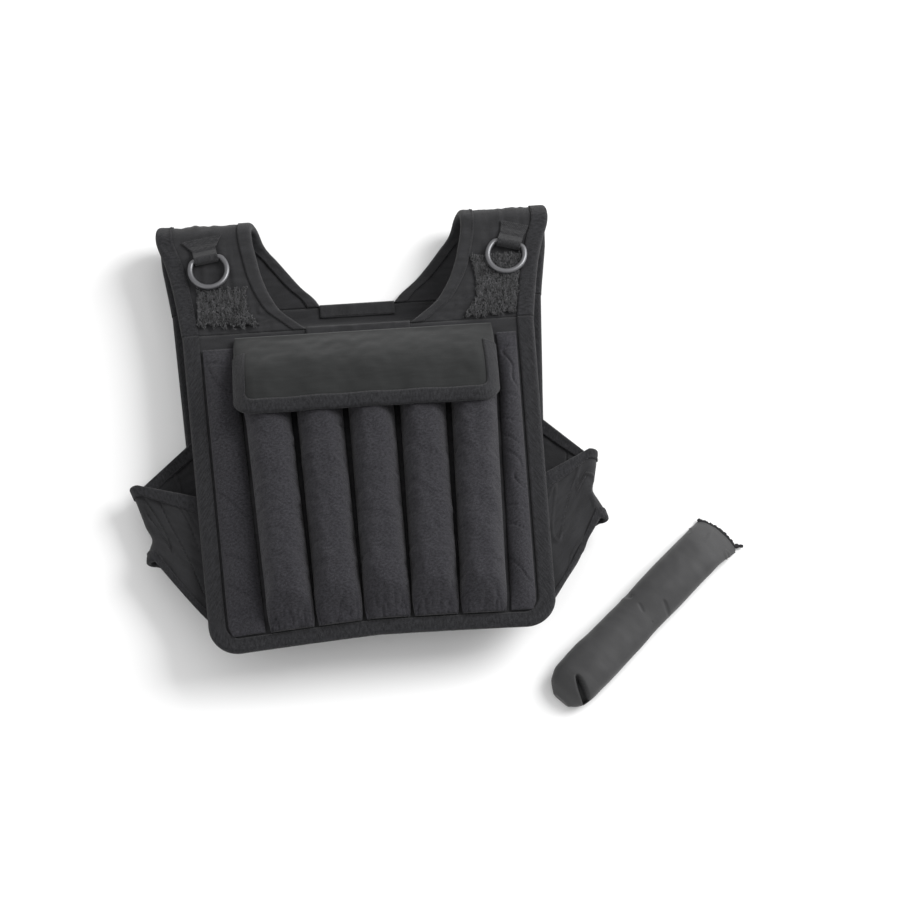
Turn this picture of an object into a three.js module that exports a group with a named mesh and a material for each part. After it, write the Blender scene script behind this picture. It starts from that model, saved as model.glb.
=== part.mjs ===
// Weighted training vest, lying on its back with its front up, and one weight bar taken out beside it.
// Millimetres. X runs across the vest, +Y towards its shoulders, +Z up. Z = 0 is the surface it lies on,
// and the origin is on the underside of the back panel, on the line down the middle of the vest.
import * as THREE from 'three';

// Sewing and cloth
const seam_gap = 0.3;          // clearance between pieces that are sewn together
const seat_gap = 0.6;          // clearance of what is sewn onto the curved front panel
const cloth = 2;               // wall of the side panels
const tape_wall = 1.2;         // grosgrain tape that binds the edges
const tape_width = 13;         // how far the tape reaches in from a panel's edge
const narrow_tape_width = 10;  // the same at the hem, on the side panels and at the straps' neck side
const neck_clearance = 3;      // between the tape of the neck and the tape of the straps
const edge_thickness = 5;      // padding pressed together under the tape
const pressed_margin = 17;     // how far in the padding stays pressed together
const pad_margin = 30;         // how far in it has its full thickness

// Back panel
const back_top = 161;
const back_neck_half = 42;
const back_hem = -178;
const back_half_top = 189;
const back_half_hem = 166;
const back_padding = 12;
const back_corner = 30;

// Front panel, raised over the back one by the hollow that the body goes into
const front_top = 110;
const front_neck_half = 56;
const front_hem = -226;
const front_half_top = 175.5;
const front_half_hem = 164;
const front_padding = 8;
const front_corner = 26;
const front_level = 54;        // middle of the padding at the edges
const front_crown = 6;         // how much higher the middle of the panel stands
const hem_droop = 11;          // how much lower the hem hangs at the left corner
const hem_shift = 7;           // how far the hem lies to the right of the straps

// Pockets with their weight bars
const pocket_count = 5;
const row_shift_top = 7.5;     // the row of pockets sits off the middle
const row_shift_hem = 12;
const pocket_pitch_top = 52.3;
const pocket_pitch_hem = 46.4;
const pocket_width = 42.5;
const pocket_height = 31;
const pocket_top = 42;
const pocket_hem_margin = 11;  // from the edge of the hem
const pocket_seam = 1.4;       // height of the sewn edge of a pocket
const pocket_belly = 1.07;     // widest part of a pocket, as a share of its width

// Flat channels beside the pockets
const channel_height = 9;
const channel_top = 92;
const channel_hem_margin = 12;
const channel_margin = 15.5;   // from the panel's edge
const channel_clearance = 3.5; // from the outer pocket

// Flap over the pocket mouths
const flap_shift = 4.5;
const flap_half = 130.5;
const flap_top = 102;
const flap_drop = 100;
const flap_wall = 3;
const flap_corner = 20;
const flap_dip = 1.6;          // how far it sinks between two pockets
const flap_shoulder = 0.84;    // share of the half width where the flap starts to turn down

// Shoulder straps. Half widths are from the middle of the vest to the neck side, and the arm side stands
// out beyond the panels
const strap_thickness = 6;
const strap_level = 54;        // middle of the strap on the front
const strap_floor = 4.9;       // middle of the strap on the back
const shoulder_start = 222;    // where the straps start to turn over the shoulder
const shoulder_neck_half = 113;
const shoulder_arm_out = 23.5;
const floor_neck_half = 91;    // where the straps have come round onto the floor
const floor_arm_out = 9;
const neck_shift = 4;          // how far the straps lean to the right at the neck side

// Loop-pile patches, webbing and rings on the straps
const patch_wall = 1.5;
const patch_bunch = 5;         // how far the lower edge of a patch is drawn up
const patches = {
  left: { low: 7, high: 50, from_neck_low: 36, from_neck_high: 14, from_arm_low: 14, from_arm_high: 20 },
  right: { low: 2, high: 73, from_neck_low: 50, from_neck_high: 14, from_arm_low: 14, from_arm_high: 14 },
};
const webbing_wall = 1.5;
const webbing_ring_width = 24.5;
const webbing_tail = 14;       // length of the end that is turned back under the ring
const webbing_reach = 27;      // from the ring's bar up to the shoulder
const ring_wire = 2.7;         // radius
const ring_half = 19;          // half width, to the middle of the wire
const ring_bar_half = 14.6;
const ring_depth = 33;         // from the bar to the far side, to the middle of the wire
const ring_side = 13;          // from the bar to the widest place
const ring_corner = 11;        // from the widest place back to where the round part ends
const ring_play = 0.6;         // clearance round the bar in its webbing loop
const rings = {
  left: { above_seam: 86, from_arm: 38.9, turn: 10, webbing: 42 },
  right: { above_seam: 83, from_arm: 29.3, turn: -17, webbing: 29 },
};

// Side panels, folded in half between the front panel and the back one
const side_tuck = 7;           // how far a side panel reaches in under, or over, the edge of a panel
const side_fold_radius = 7;
const side_out = 60.5;         // from the front panel's top corner out to the fold
const side_front_top = -70;
const side_back_length = 134;
const sides = {
  left: { fold_top: -45, fold_length: 79, front_length: 146, back_top: 14, bow: 5 },
  right: { fold_top: -36, fold_length: 72, front_length: 152, back_top: 21, bow: 8 },
};

// Weight bar: a nylon sleeve filled with iron sand
const bar_length = 236;
const bar_width = 48;
const bar_height = 31;
const bar_place = { x: 260.5, y: -205.5, turn: 43.5 };

const black_nylon = { color: 0x2e2f31, roughness: 0.86, metalness: 0 };
const pocket_canvas = { color: 0x3a3b3e, roughness: 0.84, metalness: 0 };
const flap_canvas = { color: 0x3c3e3f, roughness: 0.88, metalness: 0 };
const grosgrain = { color: 0x252628, roughness: 0.92, metalness: 0 };
const loop_pile = { color: 0x323335, roughness: 1, metalness: 0 };
const bar_nylon = { color: 0x4c4c4e, roughness: 0.7, metalness: 0 };
const grey_metal = { color: 0x96969b, roughness: 0.45, metalness: 0.9 };

const vest = new THREE.Group();

const V = (x, y, z) => new THREE.Vector3(x, y, z);
const mix = THREE.MathUtils.lerp;
const smooth = (value, from, to) => THREE.MathUtils.smoothstep(value, from, to);
const shares = (count) => Array.from({ length: count + 1 }, (_, i) => i / count);

function add(name, geometry, finish) {
  const mesh = new THREE.Mesh(geometry, new THREE.MeshStandardMaterial(finish));
  mesh.name = name;
  vest.add(mesh);
  return mesh;
}

// Reads a column of a table at a place between its rows
function read(table, place, column) {
  const next = Math.max(1, table.findIndex((row) => row.at >= place));
  const [a, b] = place >= table.at(-1).at ? table.slice(-2) : table.slice(next - 1, next + 1);
  return mix(a[column], b[column], THREE.MathUtils.clamp((place - a.at) / (b.at - a.at), 0, 1));
}

// A closed body, turned so that its faces point out
function body(points, faces) {
  let volume = 0;
  for (const [a, b, c] of faces) volume += points[a].dot(points[b].clone().cross(points[c]));
  const order = volume > 0 ? faces : faces.map(([a, b, c]) => [a, c, b]);
  const geometry = new THREE.BufferGeometry().setFromPoints(points);
  geometry.setIndex(order.flat());
  geometry.computeVertexNormals();
  return geometry;
}

// A body between two grids of points with the same rows and columns
function between(lower, upper) {
  const rows = lower.length;
  const columns = lower[0].length;
  const points = [...upper.flat(), ...lower.flat()];
  const up = (i, j) => j * columns + i;
  const down = (i, j) => rows * columns + up(i, j);
  const faces = [];
  const quad = (a, b, c, d) => faces.push([a, b, c], [a, c, d]);
  for (let j = 0; j + 1 < rows; j++) {
    for (let i = 0; i + 1 < columns; i++) {
      quad(up(i, j), up(i + 1, j), up(i + 1, j + 1), up(i, j + 1));
      quad(down(i, j), down(i, j + 1), down(i + 1, j + 1), down(i + 1, j));
    }
    quad(up(0, j + 1), down(0, j + 1), down(0, j), up(0, j));
    quad(up(columns - 1, j), down(columns - 1, j), down(columns - 1, j + 1), up(columns - 1, j + 1));
  }
  for (let i = 0; i + 1 < columns; i++) {
    quad(up(i, 0), down(i, 0), down(i + 1, 0), up(i + 1, 0));
    quad(up(i + 1, rows - 1), down(i + 1, rows - 1), down(i, rows - 1), up(i, rows - 1));
  }
  return body(points, faces);
}

const grid = (us, vs, place) => vs.map((v) => us.map((u) => place(u, v)));

// The middle surface of a cloth, with the direction that it faces at each point
function facing(surface) {
  const rows = surface.length;
  const columns = surface[0].length;
  return surface.map((row, j) => row.map((point, i) => {
    const right = row[Math.min(i + 1, columns - 1)].clone().sub(row[Math.max(i - 1, 0)]);
    const up = surface[Math.min(j + 1, rows - 1)][i].clone().sub(surface[Math.max(j - 1, 0)][i]);
    return right.cross(up).normalize();
  }));
}

// A cloth or pad of a thickness that may change from place to place
function sheet(surface, thickness) {
  const normals = facing(surface);
  const shift = (side) => surface.map((row, j) => row.map((point, i) => (
    point.clone().addScaledVector(normals[j][i], side * thickness(i, j) / 2))));
  return between(shift(-1), shift(1));
}

// A body through rings of points, closed at both ends or joined into a loop
function loft(rings, looped = false) {
  const sides = rings[0].length;
  const points = rings.flat();
  const faces = [];
  const last = looped ? rings.length : rings.length - 1;
  for (let j = 0; j < last; j++) {
    const next = (j + 1) % rings.length;
    for (let i = 0; i < sides; i++) {
      const turn = (i + 1) % sides;
      faces.push([j * sides + i, j * sides + turn, next * sides + turn]);
      faces.push([j * sides + i, next * sides + turn, next * sides + i]);
    }
  }
  if (!looped) {
    for (const end of [0, rings.length - 1]) {
      const middle = rings[end].reduce((sum, point) => sum.add(point), V(0, 0, 0)).divideScalar(sides);
      points.push(middle);
      for (let i = 0; i < sides; i++) {
        const [a, b] = [end * sides + i, end * sides + (i + 1) % sides];
        faces.push(end === 0 ? [b, a, points.length - 1] : [a, b, points.length - 1]);
      }
    }
  }
  return body(points, faces);
}

// Tape folded over the edge of a cloth, on the cells of its grid that it covers. It goes round the named
// sides of the grid. Level 2 is its outer face, level 1 the face against the cloth, and -1, -2 below
function binding(surface, thickness, covers, wrapped) {
  const normals = facing(surface);
  const [rows, columns] = [surface.length, surface[0].length];
  const inside = (i, j) => i >= 0 && j >= 0 && i + 1 < columns && j + 1 < rows;
  const steps = [];
  const noses = [];
  const faces = [];
  const quad = (a, b, c, d) => faces.push([a, b, c], [a, c, d]);
  const points = [];
  const known = new Map();
  const outward = new Map();
  const vertex = ([i, j], level) => {
    const key = `${i} ${j} ${level}`;
    if (!known.has(key)) {
      known.set(key, points.length);
      const deep = Math.abs(level) === 2 ? seam_gap + tape_wall : seam_gap;
      const point = surface[j][i].clone();
      point.addScaledVector(normals[j][i], Math.sign(level) * (thickness / 2 + deep));
      point.addScaledVector(outward.get(`${i} ${j}`)?.clone().normalize() ?? V(0, 0, 0), deep);
      points.push(point);
    }
    return known.get(key);
  };
  const cells = [];
  for (let j = 0; j + 1 < rows; j++) {
    for (let i = 0; i + 1 < columns; i++) if (covers(i, j)) cells.push([i, j]);
  }
  for (const [i, j] of cells) {
    const corners = [[i, j], [i + 1, j], [i + 1, j + 1], [i, j + 1]];
    const around = [[i, j - 1], [i + 1, j], [i, j + 1], [i - 1, j]];
    const middle = surface[j][i].clone().add(surface[j + 1][i + 1]).multiplyScalar(0.5);
    for (let k = 0; k < 4; k++) {
      if (inside(...around[k]) && covers(...around[k])) continue;
      const [a, b] = [corners[k], corners[(k + 1) % 4]];
      if (inside(...around[k]) || !wrapped.includes(['hem', 'right', 'top', 'left'][k])) {
        steps.push([a, b]);
        continue;
      }
      noses.push([a, b]);
      const [from, to] = [surface[a[1]][a[0]], surface[b[1]][b[0]]];
      const out = to.clone().sub(from).cross(normals[a[1]][a[0]]).normalize();
      if (out.dot(from.clone().sub(middle)) < 0) out.negate();
      for (const corner of [a, b]) {
        outward.set(corner.join(' '), (outward.get(corner.join(' ')) ?? V(0, 0, 0)).clone().add(out));
      }
    }
  }
  for (const [i, j] of cells) {
    const corners = [[i, j], [i + 1, j], [i + 1, j + 1], [i, j + 1]];
    for (const level of [2, -1]) quad(...corners.map((corner) => vertex(corner, level)));
    for (const level of [1, -2]) {
      const [a, b, c, d] = corners.map((corner) => vertex(corner, level));
      quad(a, d, c, b);
    }
  }
  const wall = (a, b, from, to) => quad(vertex(b, from), vertex(a, from), vertex(a, to), vertex(b, to));
  for (const [a, b] of steps) {
    wall(a, b, 2, 1);
    wall(a, b, -1, -2);
  }
  for (const [a, b] of noses) {
    wall(a, b, 2, -2);
    wall(b, a, 1, -1);
  }
  const has = (edges, end, corner) => edges.some((ends) => ends[end].join(' ') === corner.join(' '));
  for (const [a, b] of noses) {
    if (!has(noses, 0, b)) quad(vertex(b, 2), vertex(b, -2), vertex(b, -1), vertex(b, 1));
    if (!has(noses, 1, a)) quad(vertex(a, 2), vertex(a, 1), vertex(a, -1), vertex(a, -2));
  }
  return body(points, faces);
}

// Half the width of a panel at a share of its height, with its lower corners rounded
function half_width(height, rise, half_hem, half_top, corner) {
  const half = mix(half_hem, half_top, rise / height);
  const above = Math.max(corner - rise, 0);
  return half - corner + Math.sqrt(corner ** 2 - above ** 2);
}

// Rows of a panel: close together round the corners and where the padding comes down
function panel_rows(height, corner) {
  const round = [narrow_tape_width, ...[0, 30, 50, 75, 90].map((turn) => (
    corner * (1 - Math.cos(THREE.MathUtils.degToRad(turn)))))].sort((a, b) => a - b);
  const even = shares(6).slice(1).map((share) => mix(corner, height - pad_margin, share));
  return [...round, ...even, height - tape_width, height].map((rise) => rise / height);
}

// Columns of a panel: close together where the padding comes down, with one at each side of the neck
function panel_columns(half, neck_share) {
  const right = [neck_share, 0.55, 1 - pad_margin / half, 1 - tape_width / half, 1];
  return [...right.map((u) => -u).reverse(), 0, ...right];
}

// How thick a pad is at a distance from its edge
const padding_at = (distance, padding) => (
  mix(edge_thickness, padding, smooth(distance, pressed_margin, pad_margin)));

// Distance of a place on a panel from its nearest edge
const from_edge = (u, v, half, height) => Math.min((1 - Math.abs(u)) * half, v * height, (1 - v) * height);

// Tape down both sides of a panel and round its hem
function panel_binding(surface, rows, height) {
  const last = surface[0].length - 2;
  const at_hem = (j) => rows[j + 1] * height <= narrow_tape_width + seam_gap;
  const covers = (i, j) => i === 0 || i === last || at_hem(j);
  return binding(surface, edge_thickness, covers, ['left', 'right', 'hem']);
}

// Tape along the top edge of a panel between the shoulder straps
function neck_binding(surface) {
  const middle = (surface[0].length - 1) / 2;
  const covers = (i, j) => j === surface.length - 2 && Math.abs(i + 0.5 - middle) < 1;
  return binding(surface, edge_thickness, covers, ['top']);
}

// Back panel: a plain padded panel that the vest lies on. Its underside is flat inside the binding
const back_height = back_top - back_hem;
const back_level = edge_thickness / 2 + 2 * seam_gap + tape_wall;
const back_columns = panel_columns(back_half_hem, (back_neck_half - neck_clearance) / back_half_top);
const back_rows = panel_rows(back_height, back_corner);
const back_half_at = (rise) => half_width(back_height, rise, back_half_hem, back_half_top, back_corner);
const back_place = (u, v) => V(u * back_half_at(v * back_height), back_hem + v * back_height, back_level);
const back_surface = grid(back_columns, back_rows, back_place);
const back_padding_at = (u, v) => padding_at(from_edge(u, v, back_half_hem, back_height), back_padding);
add('back_panel', between(
  grid(back_columns, back_rows, (u, v) => {
    const pressed = (back_padding - back_padding_at(u, v)) / (back_padding - edge_thickness);
    return back_place(u, v).setZ(pressed * (back_level - edge_thickness / 2));
  }),
  grid(back_columns, back_rows, (u, v) => (
    back_place(u, v).setZ(back_level - edge_thickness / 2 + back_padding_at(u, v)))),
), black_nylon);
add('back_binding', panel_binding(back_surface, back_rows, back_height), grosgrain);
add('back_neck_binding', neck_binding(back_surface), grosgrain);

// Front panel: the padded panel that carries the pockets
const front_height = front_top - front_hem;
const front_columns = panel_columns(front_half_hem, (front_neck_half - neck_clearance) / front_half_top);
const front_rows = panel_rows(front_height, front_corner);
const front_half_at = (rise) => (
  half_width(front_height, rise, front_half_hem, front_half_top, front_corner));
const front_shift_at = (rise) => hem_shift * (1 - rise / front_height);
const front_side_at = (side, y) => side * front_half_at(y - front_hem) + front_shift_at(y - front_hem);
const front_hem_at = (x) => front_hem - hem_droop * THREE.MathUtils.clamp(-x / front_half_hem, 0, 1);
function front_crown_at(x, y) {
  const share = THREE.MathUtils.clamp(x / front_half_top, -1, 1);
  return front_crown * (1 - share ** 2) * (1 - smooth(y, pocket_top, front_top));
}
const front_place = (u, v) => {
  const x = u * front_half_at(v * front_height) + front_shift_at(v * front_height);
  const y = mix(front_hem_at(x), front_top, v);
  return V(x, y, front_level + front_crown_at(x, y));
};
const front_surface = grid(front_columns, front_rows, front_place);
add('front_panel', sheet(front_surface, (i, j) => (
  padding_at(from_edge(front_columns[i], front_rows[j], front_half_hem, front_height), front_padding)
)), black_nylon);
add('front_binding', panel_binding(front_surface, front_rows, front_height), grosgrain);
add('front_neck_binding', neck_binding(front_surface), grosgrain);

// Height of the front panel's face under a point
const front_face = (x, y) => front_level + front_padding / 2 + front_crown_at(x, y);

// A filled form sewn onto the front panel, from its sewn edge up to the height of its place
function on_front(us, vs, place, height) {
  const base = grid(us, vs, (u, v) => {
    const [x, y] = place(u, v);
    return V(x, y, front_face(x, y) + seat_gap);
  });
  return between(base, base.map((line, j) => line.map((point, i) => (
    point.clone().setZ(point.z + height(us[i], vs[j]))))));
}

// Pockets: canvas sleeves sewn down side by side, each filled by a weight bar. Shares of the named
// sizes from the hem seam up to the mouth under the flap
const pocket_form = [
  { at: 0, width: 0.93, height: 0.12 },
  { at: 0.045, width: 1.04, height: 0.6 },
  { at: 0.09, width: pocket_belly, height: 0.93 },
  { at: 0.2, width: 1.05, height: 1 },
  { at: 0.55, width: 1.01, height: 0.97 },
  { at: 0.8, width: 0.99, height: 1 },
  { at: 0.94, width: 0.98, height: 0.95 },
  { at: 1, width: 0.96, height: 0.5 },
];
const pocket_columns = [-1, -0.93, -0.75, -0.45, 0, 0.45, 0.75, 0.93, 1];
const pocket_arch = (u) => Math.sqrt(1 - Math.abs(u) ** 2.4);
const pocket_middle = (slot, v) => (
  mix(row_shift_hem, row_shift_top, v) + slot * mix(pocket_pitch_hem, pocket_pitch_top, v));
for (let n = 0; n < pocket_count; n++) {
  const slot = n - (pocket_count - 1) / 2;
  const place = (u, v) => {
    const x = pocket_middle(slot, v) + u * read(pocket_form, v, 'width') * pocket_width / 2;
    return [x, mix(front_hem_at(x) + pocket_hem_margin, pocket_top, v)];
  };
  add(`pocket_${n + 1}`, on_front(pocket_columns, pocket_form.map((line) => line.at), place, (u, v) => (
    pocket_seam + (pocket_height - pocket_seam) * read(pocket_form, v, 'height') * pocket_arch(u)
  )), pocket_canvas);
}

// Channels: flatter lengths of canvas between the row of pockets and the bound edges of the panel
const channel_edge = 0.16;
const channel_form = [
  { at: 0, height: channel_edge }, { at: 0.05, height: 0.6 }, { at: 0.15, height: 0.85 },
  { at: 0.32, height: 0.7 }, { at: 0.6, height: 1 }, { at: 0.9, height: 0.85 },
  { at: 0.96, height: 0.6 }, { at: 1, height: channel_edge },
];
const channel_columns = [0, 0.14, 0.32, 0.55, 0.8, 1];
for (const [name, side] of [['channel_left', -1], ['channel_right', 1]]) {
  const place = (u, v) => {
    const level = mix(front_hem + channel_hem_margin, channel_top, v);
    const outer = front_side_at(side, level) - side * channel_margin;
    const along = (level - front_hem - pocket_hem_margin) / (pocket_top - front_hem - pocket_hem_margin);
    const row_end = pocket_middle(side * (pocket_count - 1) / 2, along);
    const inner = row_end + side * (pocket_width * pocket_belly / 2 + channel_clearance);
    const x = side > 0 ? mix(inner, outer, u) : mix(outer, inner, u);
    return [x, mix(front_hem_at(x) + channel_hem_margin, channel_top, v)];
  };
  const arch = (u) => mix(channel_edge, 1, Math.sin(Math.PI * u) ** 0.7);
  add(name, on_front(channel_columns, channel_form.map((line) => line.at), place, (u, v) => (
    channel_height * read(channel_form, v, 'height') * arch(u))), pocket_canvas);
}

// Flap: one piece of canvas, sewn down along the neck and lying over the mouths of the pockets.
// Rows from its free edge up to its seam
const flap_form = [
  { at: 0, height: 0.97 }, { at: 0.06, height: 1 }, { at: 0.13, height: 1 }, { at: 0.2, height: 1.02 },
  { at: 0.4, height: 1.02 }, { at: 0.55, height: 0.86 }, { at: 0.7, height: 0.58 },
  { at: 0.85, height: 0.28 }, { at: 1, height: 0 },
];
const flap_columns = [
  -1, -0.985, -0.95, -0.9, -0.84, -0.7, -0.6, -0.4, -0.2, 0, 0.2, 0.4, 0.6, 0.7, 0.84, 0.9, 0.95, 0.985, 1,
];
const flap_rows = [0, 0.03, 0.1, 0.14, 0.2, 0.3, 0.42, 0.55, 0.7, 0.85, 1];
const flap_place = (u, v) => {
  const half = half_width(flap_drop, v * flap_drop, flap_half, flap_half, flap_corner);
  const x = flap_shift + u * half;
  const y = flap_top - flap_drop + v * flap_drop;
  const turn = Math.max(Math.abs(x - flap_shift) / flap_half - flap_shoulder, 0) / (1 - flap_shoulder);
  const over = 0.3 + 0.7 * Math.sqrt(1 - Math.min(turn, 1) ** 2);
  const between_pockets = (1 - Math.cos(2 * Math.PI * (x - row_shift_top) / pocket_pitch_top)) / 2;
  const dip = turn > 0 || v > 0.55 ? 0 : flap_dip * between_pockets;
  const height = pocket_height * read(flap_form, v, 'height') * over - dip;
  const clearance = (tape_wall + 3 * seat_gap) * (1 - smooth(v, 0.8, 1)) + seat_gap;
  return V(x, y, front_face(x, y) + Math.max(height, 0) + clearance + flap_wall / 2);
};
const flap_surface = grid(flap_columns, flap_rows, flap_place);
add('pocket_flap', sheet(flap_surface, () => flap_wall), flap_canvas);
const flap_covers = (i, j) => {
  const from_side = (1 - Math.abs(flap_columns[i] + flap_columns[i + 1]) / 2) * flap_half;
  const at_edge = from_side < narrow_tape_width || flap_rows[j + 1] * flap_drop <= narrow_tape_width;
  return at_edge && j < flap_rows.length - 3;
};
add('flap_binding', binding(flap_surface, flap_wall, flap_covers, ['left', 'right', 'hem']), grosgrain);

// Shoulder straps: padded straps from the front panel, over the shoulder, to the back panel. Rows run
// from the front seam. Their half widths are shares of the way from each stretch's start to its end
const turn_radius = (strap_level - strap_floor) / 2;
const strap_stretches = {
  front: { from: [front_top + seam_gap, front_neck_half, front_half_top],
    to: [shoulder_start, shoulder_neck_half, front_half_top + shoulder_arm_out] },
  turn: { from: [shoulder_start, shoulder_neck_half, front_half_top + shoulder_arm_out],
    to: [shoulder_start, floor_neck_half, back_half_top + floor_arm_out] },
  back: { from: [shoulder_start, floor_neck_half, back_half_top + floor_arm_out],
    to: [back_top + seam_gap, back_neck_half, back_half_top] },
};
const strap_form = [
  { part: 'front', at: 0, neck: 0, arm: 0 },
  { part: 'front', at: 0.09, neck: 0.21, arm: 0.05 },
  { part: 'front', at: 0.21, neck: 0.47, arm: 0.13 },
  { part: 'front', at: 0.36, neck: 0.66, arm: 0.24 },
  { part: 'front', at: 0.55, neck: 0.82, arm: 0.4 },
  { part: 'front', at: 0.79, neck: 0.93, arm: 0.68 },
  { part: 'front', at: 1, neck: 1, arm: 1 },
  { part: 'turn', at: 0.2, neck: 0, arm: 0 },
  { part: 'turn', at: 0.4, neck: 0.09, arm: 0 },
  { part: 'turn', at: 0.6, neck: 0.27, arm: 0 },
  { part: 'turn', at: 0.8, neck: 0.5, arm: 0.33 },
  { part: 'back', at: 0, neck: 0, arm: 0 },
  { part: 'back', at: 0.34, neck: 0.31, arm: 0.33 },
  { part: 'back', at: 0.6, neck: 0.57, arm: 0.61 },
  { part: 'back', at: 0.81, neck: 0.84, arm: 0.83 },
  { part: 'back', at: 1, neck: 1, arm: 1 },
];
function strap_row({ part, at, neck, arm }) {
  const { from, to } = strap_stretches[part];
  const turn = Math.PI * { front: 0, turn: at, back: 1 }[part];
  const leaning = Math.sin(Math.PI / 2 * { front: at, turn: 1, back: 1 - at }[part]);
  return {
    y: mix(from[0], to[0], at) + turn_radius * Math.sin(turn),
    z: strap_floor + turn_radius * (1 + Math.cos(turn)),
    neck: mix(from[1], to[1], neck),
    arm: mix(from[2], to[2], arm),
    lean: neck_shift * leaning,
  };
}

for (const [name, side] of [['left', -1], ['right', 1]]) {
  const surface = strap_form.map(strap_row).map(({ y, z, neck: half, arm: far, lean }) => {
    const near = half + side * lean;
    const across = [near, near + narrow_tape_width, (near + far) / 2, far - tape_width, far];
    const columns = side < 0 ? across.map((x) => -x).reverse() : across;
    return columns.map((x) => V(x, y, z));
  });
  const last = surface[0].length - 2;
  const [arm, neck] = side < 0 ? [0, last] : [last, 0];
  const tape = (covered) => (
    binding(surface, strap_thickness, (i) => i === covered, [covered ? 'right' : 'left']));
  add(`shoulder_strap_${name}`, sheet(surface, () => strap_thickness), black_nylon);
  add(`arm_binding_${name}`, tape(arm), grosgrain);
  add(`neck_binding_${name}`, tape(neck), black_nylon);
}

// Half width of a strap's edge on the front, at a distance above its front seam
const strap_front = strap_form.filter(({ part }) => part === 'front');
function strap_edge(above_seam, which) {
  const { from, to } = strap_stretches.front;
  const column = which === 'neck' ? 1 : 2;
  return mix(from[column], to[column], read(strap_front, above_seam / (shoulder_start - front_top), which));
}

// Loop-pile patches: fastening tape sewn onto the straps above their front seams. The lower edge is bunched
const strap_face = strap_level + strap_thickness / 2;
const patch_bunching = [0, 0.5, 0.15, 0.8, 0.3, 1, 0.45];
for (const [name, side] of [['left', -1], ['right', 1]]) {
  const patch = patches[name];
  const us = shares(patch_bunching.length - 1);
  const surface = grid(us, shares(3), (u, v) => {
    const above = mix(patch.low, patch.high, v);
    const near = strap_edge(above, 'neck') + mix(patch.from_neck_low, patch.from_neck_high, v);
    const far = strap_edge(above, 'arm') - mix(patch.from_arm_low, patch.from_arm_high, v);
    const bunched = patch_bunch * patch_bunching[Math.round(u * (us.length - 1))] * (1 - v);
    return V(side * mix(near, far, u), front_top + above + bunched, strap_face + seam_gap + patch_wall / 2);
  });
  add(`loop_patch_${name}`, sheet(surface, () => patch_wall), loop_pile);
}

// D-rings: bent wire, each held by its straight bar in a loop of webbing that is sewn onto the strap
const loop_radius = ring_wire + ring_play + webbing_wall / 2;
const bar_rise = seam_gap + webbing_wall / 2 + loop_radius;
const lower_layer = seam_gap + webbing_wall / 2;
const upper_layer = lower_layer + webbing_wall + seam_gap;
function webbing_path(shoulder_width) {
  const round = (turn) => {
    const angle = THREE.MathUtils.degToRad(turn);
    return [loop_radius * Math.cos(angle), bar_rise + loop_radius * Math.sin(angle), webbing_ring_width];
  };
  return [
    [webbing_reach, lower_layer, shoulder_width],
    [webbing_tail + 5, lower_layer, mix(webbing_ring_width, shoulder_width, 0.4)],
    [webbing_tail, upper_layer, webbing_ring_width],
    [webbing_tail - 4, upper_layer + seam_gap, webbing_ring_width],
    ...[60, 90, 120, 150, 180, 210, 240, 270].map(round),
    [webbing_tail / 2, lower_layer, webbing_ring_width],
    [webbing_tail - 1, lower_layer, webbing_ring_width],
  ];
}
function ring_rings() {
  const reach = ring_depth - ring_side;
  const corner = Math.asin(ring_corner / reach);
  const arc = shares(15).map((share) => {
    const angle = mix(corner, -Math.PI - corner, share);
    return V(ring_half * Math.cos(angle), reach * Math.sin(angle) - ring_side, 0);
  });
  const bar = [-1, -0.5, 0, 0.5, 1].map((share) => V(share * ring_bar_half, 0, 0));
  const path = [...arc, ...bar];
  return path.map((point, k) => {
    const before = path.at(k - 1);
    const after = path[(k + 1) % path.length];
    const aside = after.clone().sub(before).normalize().cross(V(0, 0, 1));
    return shares(8).slice(0, -1).map((share) => {
      const angle = share * 2 * Math.PI;
      const out = point.clone().addScaledVector(aside, ring_wire * Math.cos(angle));
      return out.setZ(ring_wire * Math.sin(angle));
    });
  });
}
for (const [name, side] of [['left', -1], ['right', 1]]) {
  const ring = rings[name];
  const out = strap_edge(ring.above_seam, 'arm') - ring.from_arm;
  const holder = new THREE.Group();
  holder.position.set(side * out, front_top + ring.above_seam, strap_face);
  holder.rotation.z = THREE.MathUtils.degToRad(ring.turn);
  const path = webbing_path(ring.webbing);
  const surface = path.map(([along, rise, width]) => (
    [V(-width / 2, along, rise), V(width / 2, along, rise)]));
  const webbing = add(`ring_webbing_${name}`, sheet(surface, () => webbing_wall), grosgrain);
  const wire = add(`d_ring_${name}`, loft(ring_rings(), true), grey_metal);
  wire.position.z = bar_rise;
  holder.add(webbing, wire);
  vest.add(holder);
}

// Side panels: cloth from under the front panel's edge, out to a fold and back onto the back panel's
// edge. Rows from the top edge down, with how far out the fold stands as a share of its reach
const side_level = {
  front: front_level - edge_thickness / 2 - 2 * (seam_gap + tape_wall) - seam_gap - cloth / 2 - seam_gap,
  back: back_level + edge_thickness / 2 + 2 * (seam_gap + tape_wall) + seam_gap + cloth / 2 + seam_gap,
};
const side_form = {
  left: [
    { at: 0, out: 1 }, { at: 0.12, out: 0.985 }, { at: 0.3, out: 0.967 }, { at: 0.5, out: 0.945 },
    { at: 0.7, out: 0.916 }, { at: 0.88, out: 0.932 }, { at: 1, out: 0.936 },
  ],
  right: [
    { at: 0, out: 0.978 }, { at: 0.12, out: 0.974 }, { at: 0.35, out: 0.955 }, { at: 0.6, out: 0.94 },
    { at: 0.76, out: 0.965 }, { at: 0.88, out: 0.985 }, { at: 1, out: 0.995 },
  ],
};
const side_turns = [90, 54, 18, -18, -54, -90];
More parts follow.
